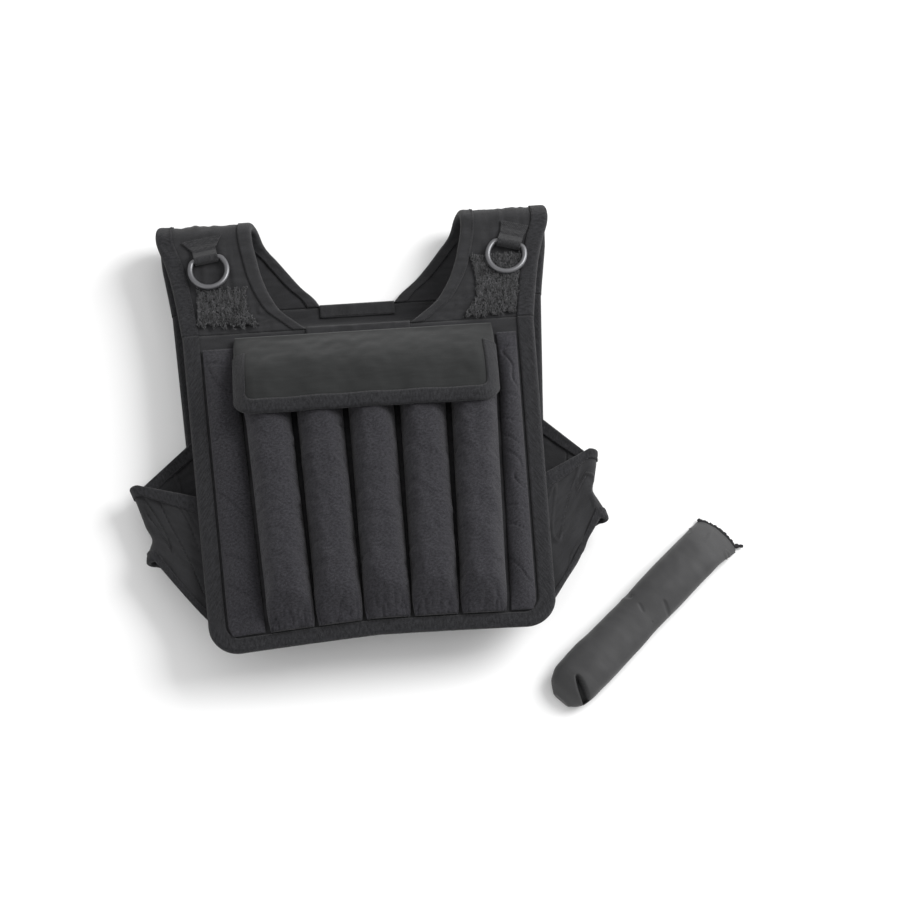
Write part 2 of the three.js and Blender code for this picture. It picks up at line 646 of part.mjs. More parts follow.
for (const [name, side] of [['left', -1], ['right', 1]]) {
  const form = side_form[name];
  const { fold_top, fold_length, front_length, back_top, bow } = sides[name];
  const surface = form.map(({ at, out }) => {
    const [front_y, back_y] = [side_front_top - at * front_length, back_top - at * side_back_length];
    const front = V(front_side_at(side, front_y) - side * side_tuck, front_y, side_level.front);
    const back = V(side * (back_half_at(back_y - back_hem) - side_tuck), back_y, side_level.back);
    const middle = (side_level.front + side_level.back) / 2;
    const fold = side_turns.map((turn) => {
      const angle = THREE.MathUtils.degToRad(turn);
      const reach = (front_half_top + side_out) * out;
      const x = side * (reach - side_fold_radius * (1 - Math.cos(angle)));
      return V(x, fold_top - at * fold_length, middle + side_fold_radius * Math.sin(angle));
    });
    const halfway = [front.clone().lerp(fold[0], 0.5), back.clone().lerp(fold.at(-1), 0.5)];
    for (const point of halfway) point.y -= at * bow;
    return [front, halfway[0], ...fold, halfway[1], back];
  });
  const last = form.length - 2;
  const tape = (covered) => binding(surface, cloth, (i, j) => j === covered, [covered ? 'top' : 'hem']);
  add(`side_panel_${name}`, sheet(surface, () => cloth), black_nylon);
  add(`side_top_binding_${name}`, tape(0), grosgrain);
  add(`side_lower_binding_${name}`, tape(last), grosgrain);
}

// Weight bar: a sleeve of smooth nylon filled with iron sand. One end is gathered into a tuck, and the
// other is sewn flat. Sections from the gathered end
const bar_form = [
  { at: 0, width: 0.42, height: 0.3 }, { at: 0.02, width: 0.72, height: 0.62 },
  { at: 0.06, width: 0.93, height: 0.88 }, { at: 0.14, width: 1, height: 1 },
  { at: 0.32, width: 1, height: 0.97 }, { at: 0.46, width: 0.94, height: 0.93 },
  { at: 0.6, width: 0.99, height: 1 }, { at: 0.8, width: 0.98, height: 0.97 },
  { at: 0.9, width: 0.98, height: 0.8 }, { at: 0.96, width: 1.02, height: 0.4 },
  { at: 1, width: 1.04, height: 0.09 },
];
const bar_sides = 14;
const bar_flat = THREE.MathUtils.degToRad(50);
const bar = add('weight_bar', loft(bar_form.map(({ at, width, height }) => (
  shares(bar_sides).slice(0, -1).map((share) => {
    const angle = 2 * Math.PI * share - Math.PI / 2;
    const sunk = Math.min(-Math.sin(angle) / Math.sin(bar_flat), 1);
    const rise = Math.sin(angle) > 0 ? 1 + Math.sin(angle) : 1 - sunk;
    const aside = -Math.cos(angle) * bar_width * width / 2;
    return V((at - 0.5) * bar_length, aside, rise * bar_height * height / 2);
  })))), bar_nylon);
bar.position.set(bar_place.x, bar_place.y, 0);
bar.rotation.z = THREE.MathUtils.degToRad(bar_place.turn);

export default vest;
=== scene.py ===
import math

import bpy
import numpy as np
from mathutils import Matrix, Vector, noise


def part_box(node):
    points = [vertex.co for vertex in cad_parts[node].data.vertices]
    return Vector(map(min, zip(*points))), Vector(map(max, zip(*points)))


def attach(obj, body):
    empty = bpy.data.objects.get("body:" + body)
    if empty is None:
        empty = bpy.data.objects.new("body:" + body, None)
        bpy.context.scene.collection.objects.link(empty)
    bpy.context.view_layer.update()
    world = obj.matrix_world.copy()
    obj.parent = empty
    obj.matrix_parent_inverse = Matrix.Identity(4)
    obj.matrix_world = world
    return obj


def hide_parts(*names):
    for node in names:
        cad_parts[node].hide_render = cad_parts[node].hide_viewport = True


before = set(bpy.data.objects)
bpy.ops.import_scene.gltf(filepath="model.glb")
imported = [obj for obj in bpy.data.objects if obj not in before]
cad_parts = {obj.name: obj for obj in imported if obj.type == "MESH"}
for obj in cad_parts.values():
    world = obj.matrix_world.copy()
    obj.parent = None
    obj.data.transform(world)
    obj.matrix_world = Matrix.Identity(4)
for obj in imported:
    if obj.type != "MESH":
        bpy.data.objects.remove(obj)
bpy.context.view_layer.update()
scene = bpy.context.scene

# The surface under the vest: a plain pale sheet on a studio table, larger than the picture. It lies just
# below the back panel, about where the swell of the tape ends.
FLOOR_SIZE = 12.0
FLOOR_DROP = 0.0005


def floor_material():
    material = bpy.data.materials.new("studio_table")
    material.use_nodes = True
    shader = material.node_tree.nodes["Principled BSDF"]
    shader.inputs["Base Color"].default_value = (0.9, 0.9, 0.9, 1)
    shader.inputs["Roughness"].default_value = 0.9
    shader.inputs["Specular IOR Level"].default_value = 0.1
    return material


bpy.ops.mesh.primitive_plane_add(size=FLOOR_SIZE, location=(0, 0, -FLOOR_DROP))
table = bpy.context.object
table.name = "studio_table"
table.data.materials.append(floor_material())

# The camera looks steeply down on the vest from beyond its hem, and sees 0.9 m of the table's width. A
# large soft lamp stands on the right, towards the shoulders, and a weak one on the left in front, and
# the sky is an even white.
CAMERA_AZIMUTH = -4.0
CAMERA_ELEVATION = 65.0
CAMERA_DISTANCE = 2.6
SENSOR = 36.0
PICTURE_WIDTH = 0.9
LOOK_AT = Vector((0.084, -0.032, 0.05))
LIGHTS = [
    {"name": "key", "place": (2.2, 0.7, 1.9), "size": 1.8, "power": 100},
    {"name": "fill", "place": (-1.6, -1.2, 1.6), "size": 1.6, "power": 8},
]
SKY_STRENGTH = 0.72


def place_camera():
    data = bpy.data.cameras.new("camera")
    data.sensor_width = SENSOR
    data.lens = SENSOR * CAMERA_DISTANCE / PICTURE_WIDTH
    camera = bpy.data.objects.new("camera", data)
    scene.collection.objects.link(camera)
    turn, rise = math.radians(CAMERA_AZIMUTH), math.radians(CAMERA_ELEVATION)
    away = Vector((math.sin(turn) * math.cos(rise), -math.cos(turn) * math.cos(rise), math.sin(rise)))
    camera.location = LOOK_AT + away * CAMERA_DISTANCE
    camera.rotation_euler = away.to_track_quat("Z", "Y").to_euler()
    scene.camera = camera


def area_light(name, place, size, power):
    data = bpy.data.lights.new(name, "AREA")
    data.size = size
    data.energy = power
    light = bpy.data.objects.new(name, data)
    light.location = place
    light.rotation_euler = (Vector(place) - LOOK_AT).to_track_quat("Z", "Y").to_euler()
    scene.collection.objects.link(light)


place_camera()
for light in LIGHTS:
    area_light(**light)

world = bpy.data.worlds.new("studio")
world.use_nodes = True
world.node_tree.nodes["Background"].inputs["Color"].default_value = (1, 1, 1, 1)
world.node_tree.nodes["Background"].inputs["Strength"].default_value = SKY_STRENGTH
scene.world = world
scene.view_settings.view_transform = "Standard"

# Back panel: two layers of black nylon over foam, sewn together and bound with tape. The vest lies on
# it, and a strip of it shows inside the neck. Every cloth here is a closed skin between two grids of
# points, and carries its own length and width in metres, which its threads follow.
BACK_CORNER = 0.030
BACK_HALF_HEM = 0.166
BACK_LEVEL = 0.0043            # middle of the pressed edge
BACK_PADDING = 0.012
BACK_NECK_HALF = 0.042
EDGE_THICKNESS = 0.005         # padding pressed together under the tape
PRESSED_MARGIN, PAD_MARGIN = 0.017, 0.030
TAPE_WIDTH, NARROW_TAPE_WIDTH = 0.013, 0.010
TAPE_WALL = 0.0012
NECK_CLEARANCE = 0.003
SEAM_GAP = 0.0003
STITCH_PITCH, STITCH_LENGTH, THREAD = 0.0036, 0.0027, 0.00032
TAPE_SHARES = np.array([0, 0.15, 0.38, 0.62, 0.83, 1])   # across a tape, from its folded edge
TAPE_TURNS = np.radians([22, 45, 68, 90, 112, 135, 158])
TAPE_SWELL, TAPE_FUZZ = 0.0004, 0.0003
STITCH_SHARES = np.array([0, 0.12, 0.35, 0.65, 0.88, 1])
STITCH_GIRTH = np.array([0.5, 0.9, 1, 1, 0.9, 0.5])
STITCH_SIDES = 5
PUCKER_DEPTH, PUCKER_REACH = 0.0007, 0.018
BACK_FOLDS = 0.0009
WORN_FROM, WORN_TO = 0.36, 0.64          # where the noise turns from the dark tone to the light one
WEAVE_SHARE, RELIEF_DEPTH = 0.25, 0.001
PANEL_COLUMNS, PANEL_ROWS = 105, 105
BACK_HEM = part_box("back_panel")[0].y
BACK_TOP, BACK_HALF_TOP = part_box("back_panel")[1].y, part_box("back_panel")[1].x


def smooth_step(value, low, high):
    share = np.clip((value - low) / (high - low), 0, 1)
    return share * share * (3 - 2 * share)


def mix(a, b, share):
    return a + (b - a) * share


def read(rows, place, column):
    """A column of a table at places between its rows, along a smooth curve."""
    at = np.array([row["at"] for row in rows])
    value = np.array([row[column] for row in rows], float)
    slope = np.gradient(value, at)
    k = np.clip(np.searchsorted(at, place) - 1, 0, len(at) - 2)
    gap = at[k + 1] - at[k]
    t = np.clip((place - at[k]) / gap, 0, 1)
    start = (1 + 2 * t) * (1 - t) ** 2 * value[k] + t * (1 - t) ** 2 * gap * slope[k]
    return start + t * t * (3 - 2 * t) * value[k + 1] + t * t * (t - 1) * gap * slope[k + 1]


def wander(x, y, size, seed):
    """Smooth noise between about -1 and 1 at places in metres. size is one length, or one each way."""
    across, along = size if isinstance(size, tuple) else (size, size)
    x, y = np.broadcast_arrays(x / across, y / along)
    found = [noise.noise(Vector((a, b, seed * 7.31))) for a, b in zip(x.ravel(), y.ravel())]
    return 2 * np.array(found).reshape(x.shape)


def creases(x, y, size, seed, width=0.12):
    """Narrow valleys that wander over a cloth, 1 at their deepest."""
    return np.maximum(1 - np.abs(wander(x, y, size, seed)) / width, 0) ** 2


def points_of(x, y, z):
    return np.stack(np.broadcast_arrays(x, y, z), -1).astype(float)


def unit(vectors):
    return vectors / np.maximum(np.linalg.norm(vectors, axis=-1, keepdims=True), 1e-12)


def facing(middle):
    """The direction that each point of a grid faces."""
    return unit(np.cross(np.gradient(middle, axis=1), np.gradient(middle, axis=0)))


def lengths(grid):
    """How far each point of a grid lies along its row and its column, from the middle, in metres."""
    both = []
    for axis in (1, 0):
        steps = np.linalg.norm(np.diff(grid, axis=axis), axis=2)
        total = np.cumsum(np.insert(steps, 0, 0, axis), axis)
        both.append(total - np.take(total, [total.shape[axis] // 2], axis))
    return np.stack(both, -1)


def evenly(path, step):
    """The points of a path again, that far apart along it."""
    far = np.insert(np.cumsum(np.linalg.norm(np.diff(path, axis=0), axis=1)), 0, 0)
    place = np.linspace(0, far[-1], max(int(far[-1] / step), 1) + 1)
    return np.stack([np.interp(place, far, path[:, k]) for k in range(path.shape[1])], -1)


def mesh_of(name, points, faces, material, uv=None, body="vest"):
    a, b, c = (points[faces[:, k]] for k in (0, 1, 2))
    if np.einsum("ij,ij->i", a, np.cross(b, c)).sum() < 0:
        faces = faces[:, ::-1]
    mesh = bpy.data.meshes.new(name)
    mesh.from_pydata(points.tolist(), [], faces.tolist())
    if uv is not None:
        corners = np.empty(len(mesh.loops), int)
        mesh.loops.foreach_get("vertex_index", corners)
        mesh.uv_layers.new(name="UVMap").data.foreach_set("uv", uv[corners].ravel())
    mesh.shade_smooth()
    mesh.materials.append(material)
    piece = bpy.data.objects.new(name, mesh)
    scene.collection.objects.link(piece)
    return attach(piece, body)


def skin(name, upper, lower, material):
    """A closed body between two grids of points with the same rows and columns."""
    rows, columns = upper.shape[:2]
    count = rows * columns
    index = np.arange(count).reshape(rows, columns)
    cells = np.stack([index[:-1, :-1], index[:-1, 1:], index[1:, 1:], index[1:, :-1]], -1).reshape(-1, 4)
    rim = np.concatenate([index[0, :-1], index[:-1, -1], index[-1, :0:-1], index[:0:-1, 0]])
    after = np.roll(rim, -1)
    walls = np.stack([rim, rim + count, after + count, after], -1)
    faces = np.concatenate([cells, cells[:, ::-1] + count, walls])
    points = np.concatenate([upper.reshape(-1, 3), lower.reshape(-1, 3)])
    uv = np.tile(lengths(upper).reshape(-1, 2), (2, 1))
    return mesh_of(name, points, faces, material, uv)


def slab(name, middle, thickness, material):
    """A cloth or pad of a thickness that may change from place to place."""
    shift = facing(middle) * np.broadcast_to(thickness, middle.shape[:2])[..., None] / 2
    return skin(name, middle + shift, middle - shift, material)


def stitches(name, line, up, material):
    """A row of stitches along a line, as one mesh of short threads that dip at both ends."""
    far = np.insert(np.cumsum(np.linalg.norm(np.diff(line, axis=0), axis=1)), 0, 0)
    starts = np.arange(STITCH_PITCH / 2, far[-1] - STITCH_LENGTH, STITCH_PITCH)
    place = starts[:, None] + STITCH_SHARES * STITCH_LENGTH
    centre, above = (np.stack([np.interp(place, far, of[:, k]) for k in range(3)], -1) for of in (line, up))
    along = unit(np.gradient(centre, axis=1))
    aside = unit(np.cross(above, along))
    centre = centre + above * THREAD * (1.4 * np.sin(math.pi * STITCH_SHARES)[:, None] - 0.5)
    radius = THREAD * STITCH_GIRTH[:, None]
    rings = []
    for turn in np.arange(STITCH_SIDES) * math.tau / STITCH_SIDES:
        rings.append(centre + radius * (aside * math.cos(turn) + above * math.sin(turn)))
    points = np.stack(rings, 2)
    count, sections, sides = points.shape[:3]
    index = np.arange(count * sections * sides).reshape(count, sections, sides)
    turned = np.roll(index, -1, 2)
    walls = np.stack([index[:, :-1], turned[:, :-1], turned[:, 1:], index[:, 1:]], -1).reshape(-1, 4)
    return mesh_of(name, points.reshape(-1, 3), walls, material)


def tape(name, middle, half, material):
    """Tape folded over an edge and sewn through. middle runs along the edge and inwards from it, halfway
    through the cloth, and half is half the cloth's thickness."""
    normals = facing(middle)
    out = unit(middle[:, 0] - middle[:, 1])
    along, inward = lengths(middle)[..., 1], np.linalg.norm(middle - middle[:, :1], axis=2)
    swell = TAPE_SWELL * wander(along, inward, (0.012, 0.02), 3)
    swell += TAPE_FUZZ * wander(along, inward, 0.004, 4)

    def layer(deep, fullness):
        turns = [middle[:, 0] + deep * (math.cos(turn) * normals[:, 0] + math.sin(turn) * out)
                 for turn in TAPE_TURNS]
        top = middle + normals * (deep + fullness * swell)[..., None]
        low = middle - normals * deep
        return np.concatenate([top[:, ::-1], np.stack(turns, 1), low], 1)

    piece = skin(name, layer(half + SEAM_GAP + TAPE_WALL, 1), layer(half + SEAM_GAP, 0), material)
    sewn = max(middle.shape[1] - 2, 1)
    stitches(name + "_stitches", middle[:, sewn] + normals[:, sewn] * (half + SEAM_GAP + TAPE_WALL),
             normals[:, sewn], thread)
    return piece


def half_width(height, rise, half_hem, half_top, corner):
    """Half the width of a panel at a height over its hem, with its lower corners rounded."""
    above = np.maximum(corner - rise, 0)
    return mix(half_hem, half_top, rise / height) - corner + np.sqrt(corner ** 2 - above ** 2)


def pad_thickness(edge_distance, padding):
    return mix(EDGE_THICKNESS, padding, smooth_step(edge_distance, PRESSED_MARGIN, PAD_MARGIN))


def puckers(x, y, side_distance, end_distance, seed):
    """Small folds that run in from the seams round a panel and die away."""
    from_sides = wander(x, y, (0.03, 0.006), seed) * np.exp(-side_distance / PUCKER_REACH)
    from_ends = wander(x, y, (0.006, 0.03), seed + 1) * np.exp(-end_distance / PUCKER_REACH)
    return PUCKER_DEPTH * (from_sides + from_ends)


def panel_tape(name, place, lift, material):
    """Tape down both sides of a panel and round its hem. place gives a point of the panel from shares of
    its width and height, and lift the height of its middle surface."""
    rises = np.linspace(0, 1, 400) ** 2
    sides = [place(-1, rises[::-1]), place(np.linspace(-1, 1, 200), 0), place(1, rises)]
    edge = evenly(np.concatenate(sides)[:, :2], 0.0025)
    along = unit(np.gradient(edge, axis=0))
    inward = np.stack([-along[:, 1], along[:, 0]], -1)
    width = mix(NARROW_TAPE_WIDTH, TAPE_WIDTH, abs(along[:, 1]))[:, None, None]
    plan = edge[:, None] + inward[:, None] * width * TAPE_SHARES[:, None]
    middle = points_of(plan[..., 0], plan[..., 1], lift(plan[..., 0], plan[..., 1]))
    return tape(name, middle, EDGE_THICKNESS / 2, material)


def neck_tape(name, half, top, lift, material):
    """Tape along the top edge of a panel, between the straps."""
    x = np.linspace(-half, half, 40)[:, None]
    y = top - np.array([0, 0.002, 0.005, 0.008, 0.0108, TAPE_WIDTH])
    return tape(name, points_of(x, y, lift(x + 0 * y, y + 0 * x)), EDGE_THICKNESS / 2, material)


def maths(tree, operation, first, second=None):
    node = tree.nodes.new("ShaderNodeMath")
    node.operation = operation
    for socket, value in zip(node.inputs, (first, second)):
        if isinstance(value, bpy.types.NodeSocket):
            tree.links.new(value, socket)
        elif value is not None:
            socket.default_value = value
    return node.outputs[0]


def noise_of(tree, vector, scale, detail):
    found = tree.nodes.new("ShaderNodeTexNoise")
    found.inputs["Scale"].default_value = scale
    found.inputs["Detail"].default_value = detail
    tree.links.new(vector, found.inputs["Vector"])
    return found.outputs["Fac"]


def cloth_material(name, dark, light, blotch=(0.012, 0.004), pitch=0.0008, roughness=0.85, relief=0.5):
    """Woven cloth with worn, fuzzy blotches of a given size in metres, and a fine weave in relief."""
    material = bpy.data.materials.new(name)
    material.use_nodes = True
    tree = material.node_tree
    shader = tree.nodes["Principled BSDF"]
    place = tree.nodes.new("ShaderNodeUVMap")
    place.uv_map = "UVMap"
    apart = tree.nodes.new("ShaderNodeSeparateXYZ")
    tree.links.new(place.outputs["UV"], apart.inputs[0])
    across, along = (
        maths(tree, "SINE", maths(tree, "MULTIPLY", apart.outputs[k], math.pi / pitch)) for k in (0, 1))
    stretch = tree.nodes.new("ShaderNodeMapping")
    stretch.inputs["Scale"].default_value = (1 / blotch[0], 1 / blotch[1], 1)
    tree.links.new(place.outputs["UV"], stretch.inputs["Vector"])
    blotches = noise_of(tree, stretch.outputs["Vector"], 1, 2)
    fuzz = noise_of(tree, place.outputs["UV"], 0.7 / pitch, 2)
    worn = maths(tree, "MULTIPLY", maths(tree, "ADD", blotches, fuzz), 0.5)
    tone = tree.nodes.new("ShaderNodeValToRGB")
    for element, position, colour in zip(tone.color_ramp.elements, (WORN_FROM, WORN_TO), (dark, light)):
        element.position = position
        element.color = (*colour, 1)
    tree.links.new(worn, tone.inputs["Fac"])
    tree.links.new(tone.outputs["Color"], shader.inputs["Base Color"])
    weave = maths(tree, "MULTIPLY", maths(tree, "MULTIPLY", across, along), WEAVE_SHARE)
    bump = tree.nodes.new("ShaderNodeBump")
    bump.inputs["Strength"].default_value = relief
    bump.inputs["Distance"].default_value = RELIEF_DEPTH
    tree.links.new(maths(tree, "ADD", weave, worn), bump.inputs["Height"])
    tree.links.new(bump.outputs["Normal"], shader.inputs["Normal"])
    shader.inputs["Roughness"].default_value = roughness
    shader.inputs["Specular IOR Level"].default_value = 0.2
    shader.inputs["Sheen Weight"].default_value = 0.1
    return material


nylon = cloth_material("nylon_cloth", (0.013, 0.013, 0.014), (0.024, 0.024, 0.026), (0.03, 0.008))
grosgrain = cloth_material("grosgrain_tape", (0.006, 0.006, 0.007), (0.028, 0.028, 0.031), (0.005, 0.0025),
                           0.0007, 0.95, 0.8)
thread = cloth_material("sewing_thread", (0.012, 0.012, 0.013), (0.03, 0.03, 0.032), (0.002, 0.002))
BACK_HEIGHT = BACK_TOP - BACK_HEM


def back_place(u, v):
    rise = v * BACK_HEIGHT
    return points_of(u * half_width(BACK_HEIGHT, rise, BACK_HALF_HEM, BACK_HALF_TOP, BACK_CORNER),
                     BACK_HEM + rise, BACK_LEVEL)


def back_lift(x, y):
    return BACK_LEVEL + 0 * x


def back_panel():
    u, v = np.linspace(-1, 1, PANEL_COLUMNS)[None], np.linspace(0, 1, PANEL_ROWS)[:, None]
    middle = back_place(u, v)
    side_distance, end_distance = (1 - abs(u)) * BACK_HALF_HEM, np.minimum(v, 1 - v) * BACK_HEIGHT
    full = pad_thickness(np.minimum(side_distance, end_distance), BACK_PADDING)
    x, y = middle[..., 0], middle[..., 1]
    folds = puckers(x, y, side_distance, end_distance, 11) + BACK_FOLDS * wander(x, y, 0.05, 12)
    under = (BACK_LEVEL - EDGE_THICKNESS / 2) * (BACK_PADDING - full) / (BACK_PADDING - EDGE_THICKNESS)
    top = BACK_LEVEL - EDGE_THICKNESS / 2 + full
    fade = smooth_step(full, EDGE_THICKNESS, BACK_PADDING)
    piece = skin("back_panel_cloth", points_of(x, y, top + folds * fade), points_of(x, y, under), nylon)
    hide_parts("back_panel")


back_panel()
for piece, node in (
    (panel_tape("back_binding_tape", back_place, back_lift, grosgrain), "back_binding"),
    (neck_tape("back_neck_tape", BACK_NECK_HALF - NECK_CLEARANCE, BACK_TOP, back_lift, nylon),
     "back_neck_binding"),
):
    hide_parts(node)

# Front panel: the padded nylon panel that carries the pockets, held above the back one by the hollow
# that the body goes into. Its padding is pressed together under the tape that binds it.
FRONT_CORNER = 0.026
FRONT_HALF_HEM = 0.164
FRONT_LEVEL = 0.054            # middle of the padding at the edges
FRONT_PADDING = 0.008
FRONT_CROWN = 0.006            # how much higher the middle stands
HEM_SHIFT = 0.007              # how far the hem lies to the right of the straps
HEM_DROOP = 0.011              # how much lower the hem hangs at the left corner
FRONT_NECK_HALF = 0.056
CROWN_FADES_FROM = 0.042       # towards the neck the crown dies away
FRONT_FOLDS = 0.0006
FRONT_TOP, FRONT_HALF_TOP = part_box("front_panel")[1].y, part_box("front_panel")[1].x
FRONT_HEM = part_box("front_panel")[0].y + HEM_DROOP
FRONT_HEIGHT = FRONT_TOP - FRONT_HEM


def front_side_at(share, rise):
    """Across the front panel, at a share of its half width and a height over its hem."""
    half = half_width(FRONT_HEIGHT, rise, FRONT_HALF_HEM, FRONT_HALF_TOP, FRONT_CORNER)
    return share * half + HEM_SHIFT * (1 - rise / FRONT_HEIGHT)


def front_hem_at(x):
    return FRONT_HEM - HEM_DROOP * np.clip(-x / FRONT_HALF_HEM, 0, 1)


def front_lift(x, y):
    share = np.clip(x / FRONT_HALF_TOP, -1, 1)
    return FRONT_LEVEL + FRONT_CROWN * (1 - share ** 2) * (1 - smooth_step(y, CROWN_FADES_FROM, FRONT_TOP))


def front_place(u, v):
    x = front_side_at(u, v * FRONT_HEIGHT)
    y = mix(front_hem_at(x), FRONT_TOP, v)
    return points_of(x, y, front_lift(x, y))


def front_panel():
    u, v = np.linspace(-1, 1, PANEL_COLUMNS)[None], np.linspace(0, 1, PANEL_ROWS)[:, None]
    middle = front_place(u, v)
    side_distance, end_distance = (1 - abs(u)) * FRONT_HALF_HEM, np.minimum(v, 1 - v) * FRONT_HEIGHT
    full = pad_thickness(np.minimum(side_distance, end_distance), FRONT_PADDING)
    x, y = middle[..., 0], middle[..., 1]
    folds = puckers(x, y, side_distance, end_distance, 21) + FRONT_FOLDS * wander(x, y, 0.03, 22)
    fade = smooth_step(full, EDGE_THICKNESS, FRONT_PADDING)
    shift = facing(middle) * full[..., None] / 2
    upper = middle + shift
    upper[..., 2] += folds * fade
    piece = skin("front_panel_cloth", upper, middle - shift, nylon)
    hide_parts("front_panel")


front_panel()
for piece, node in (
    (panel_tape("front_binding_tape", front_place, front_lift, grosgrain), "front_binding"),
    (neck_tape("front_neck_tape", FRONT_NECK_HALF - NECK_CLEARANCE, FRONT_TOP, front_lift, nylon),
     "front_neck_binding"),
):
    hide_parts(node)

# Channels: flatter lengths of canvas sewn down between the row of pockets and the bound edges. They are
# creased where the panel has been bent.
ROW_SHIFT_TOP, ROW_SHIFT_HEM = 0.0075, 0.012   # the row of pockets sits off the middle
POCKET_COUNT = 5
PITCH_TOP, PITCH_HEM = 0.0523, 0.0464
POCKET_WIDTH, POCKET_HEIGHT = 0.0425, 0.031
POCKET_BELLY = 1.07
POCKET_TOP, POCKET_HEM_MARGIN = 0.042, 0.011
SEAT_GAP = 0.0006
CHANNEL_HEIGHT = 0.009
CHANNEL_TOP, CHANNEL_HEM_MARGIN = 0.092, 0.012
CHANNEL_MARGIN, CHANNEL_CLEARANCE = 0.0155, 0.0035
CHANNEL_EDGE = 0.16
CHANNEL_FOLDS, CHANNEL_CREASES = 0.0012, 0.0022
CHANNEL_FORM = [
    {"at": 0, "height": CHANNEL_EDGE}, {"at": 0.05, "height": 0.6}, {"at": 0.15, "height": 0.85},
    {"at": 0.32, "height": 0.7}, {"at": 0.6, "height": 1}, {"at": 0.9, "height": 0.85},
    {"at": 0.96, "height": 0.6}, {"at": 1, "height": CHANNEL_EDGE},
]
canvas = cloth_material("pocket_canvas", (0.011, 0.0105, 0.0125), (0.036, 0.035, 0.041), (0.003, 0.0022),
                        0.0007, 0.9, 0.55)


def front_face(x, y):
    return front_lift(x, y) + FRONT_PADDING / 2 + SEAT_GAP


def pocket_middle(slot, v):
    return mix(ROW_SHIFT_HEM, ROW_SHIFT_TOP, v) + slot * mix(PITCH_HEM, PITCH_TOP, v)


def channel(side, seed):
    t, v = np.linspace(0, 1, 33)[None], np.linspace(0, 1, 160)[:, None]
    level = mix(FRONT_HEM + CHANNEL_HEM_MARGIN, CHANNEL_TOP, v)
    outer = front_side_at(side, level - FRONT_HEM) - side * CHANNEL_MARGIN
    pocket_hem = FRONT_HEM + POCKET_HEM_MARGIN
    row_end = pocket_middle(side * (POCKET_COUNT - 1) / 2, (level - pocket_hem) / (POCKET_TOP - pocket_hem))
    inner = row_end + side * (POCKET_WIDTH * POCKET_BELLY / 2 + CHANNEL_CLEARANCE)
    x = mix(inner, outer, t) if side > 0 else mix(outer, inner, t)
    y = mix(front_hem_at(x) + CHANNEL_HEM_MARGIN, CHANNEL_TOP, v)
    arch = mix(CHANNEL_EDGE, 1, np.sin(math.pi * t) ** 0.7)
    height = CHANNEL_HEIGHT * read(CHANNEL_FORM, v, "height") * arch
    folds = CHANNEL_FOLDS * wander(x, y, (0.02, 0.05), seed)
    folds -= CHANNEL_CREASES * creases(x, y + 0.4 * x, (0.05, 0.03), seed + 1)
    base = front_face(x, y)
    upper = points_of(x, y, base + np.maximum(height + folds * arch, 0.0008))
    return skin(f"channel_{'left' if side < 0 else 'right'}_canvas", upper, points_of(x, y, base), canvas)


for side, node in ((-1, "channel_left"), (1, "channel_right")):
    piece = channel(side, 31 + side)
    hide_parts(node)

# Pockets: five canvas sleeves sewn down side by side, each filled by a weight bar. The bars end before
# the hem, and there the cloth slopes down to its seam in small pleats.
POCKET_FORM = [
    {"at": 0, "width": 0.98, "height": 0.12}, {"at": 0.035, "width": 1.04, "height": 0.34},
    {"at": 0.075, "width": 1.07, "height": 0.68}, {"at": 0.105, "width": 1.07, "height": 0.93},
    {"at": 0.14, "width": 1.06, "height": 1}, {"at": 0.3, "width": 1.06, "height": 1},
    {"at": 0.55, "width": 1.06, "height": 0.97}, {"at": 0.8, "width": 1.07, "height": 1},
    {"at": 0.94, "width": 1.08, "height": 0.95}, {"at": 1, "width": 1.06, "height": 0.5},
]
POCKET_SEAM = 0.0014
POCKET_FOLDS, POCKET_RIPPLES = 0.0010, 0.0006
FLANK_CREASES, PLEATS = 0.0012, 0.0018


def pocket(number):
    slot = number - (POCKET_COUNT - 1) / 2
    u = np.sin(np.linspace(-1, 1, 45) * math.pi / 2)[None]
    v = np.linspace(0, 1, 144)[:, None]
    x = pocket_middle(slot, v) + u * read(POCKET_FORM, v, "width") * POCKET_WIDTH / 2
    y = mix(front_hem_at(x) + POCKET_HEM_MARGIN, POCKET_TOP, v)
    base = front_face(x, y)
    arch = np.maximum(1 - abs(u) ** 3, 0) ** 0.5
    height = POCKET_SEAM + (POCKET_HEIGHT - POCKET_SEAM) * read(POCKET_FORM, v, "height") * arch
    upper = points_of(x, y, base + height)
    seed = 41 + number
    flank = smooth_step(abs(u), 0.35, 0.9)
    folds = POCKET_FOLDS * wander(x, y, (0.018, 0.03), seed)
    folds += POCKET_RIPPLES * wander(x, y, 0.008, seed + 10)
    folds -= FLANK_CREASES * creases(x, y, (0.035, 0.010), seed + 20) * (0.3 + 0.7 * flank)
    folds -= PLEATS * creases(x, y, (0.008, 0.03), seed + 30, 0.3) * (1 - smooth_step(v, 0.05, 0.11))
    upper = upper + facing(upper) * (folds * smooth_step(1 - abs(u), 0, 0.06))[..., None]
    upper[..., 2] = np.maximum(upper[..., 2], base + POCKET_SEAM / 2)
    return skin(f"pocket_{number + 1}_canvas", upper, points_of(x, y, base), canvas)


for number in range(POCKET_COUNT):
    piece = pocket(number)
    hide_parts(f"pocket_{number + 1}")

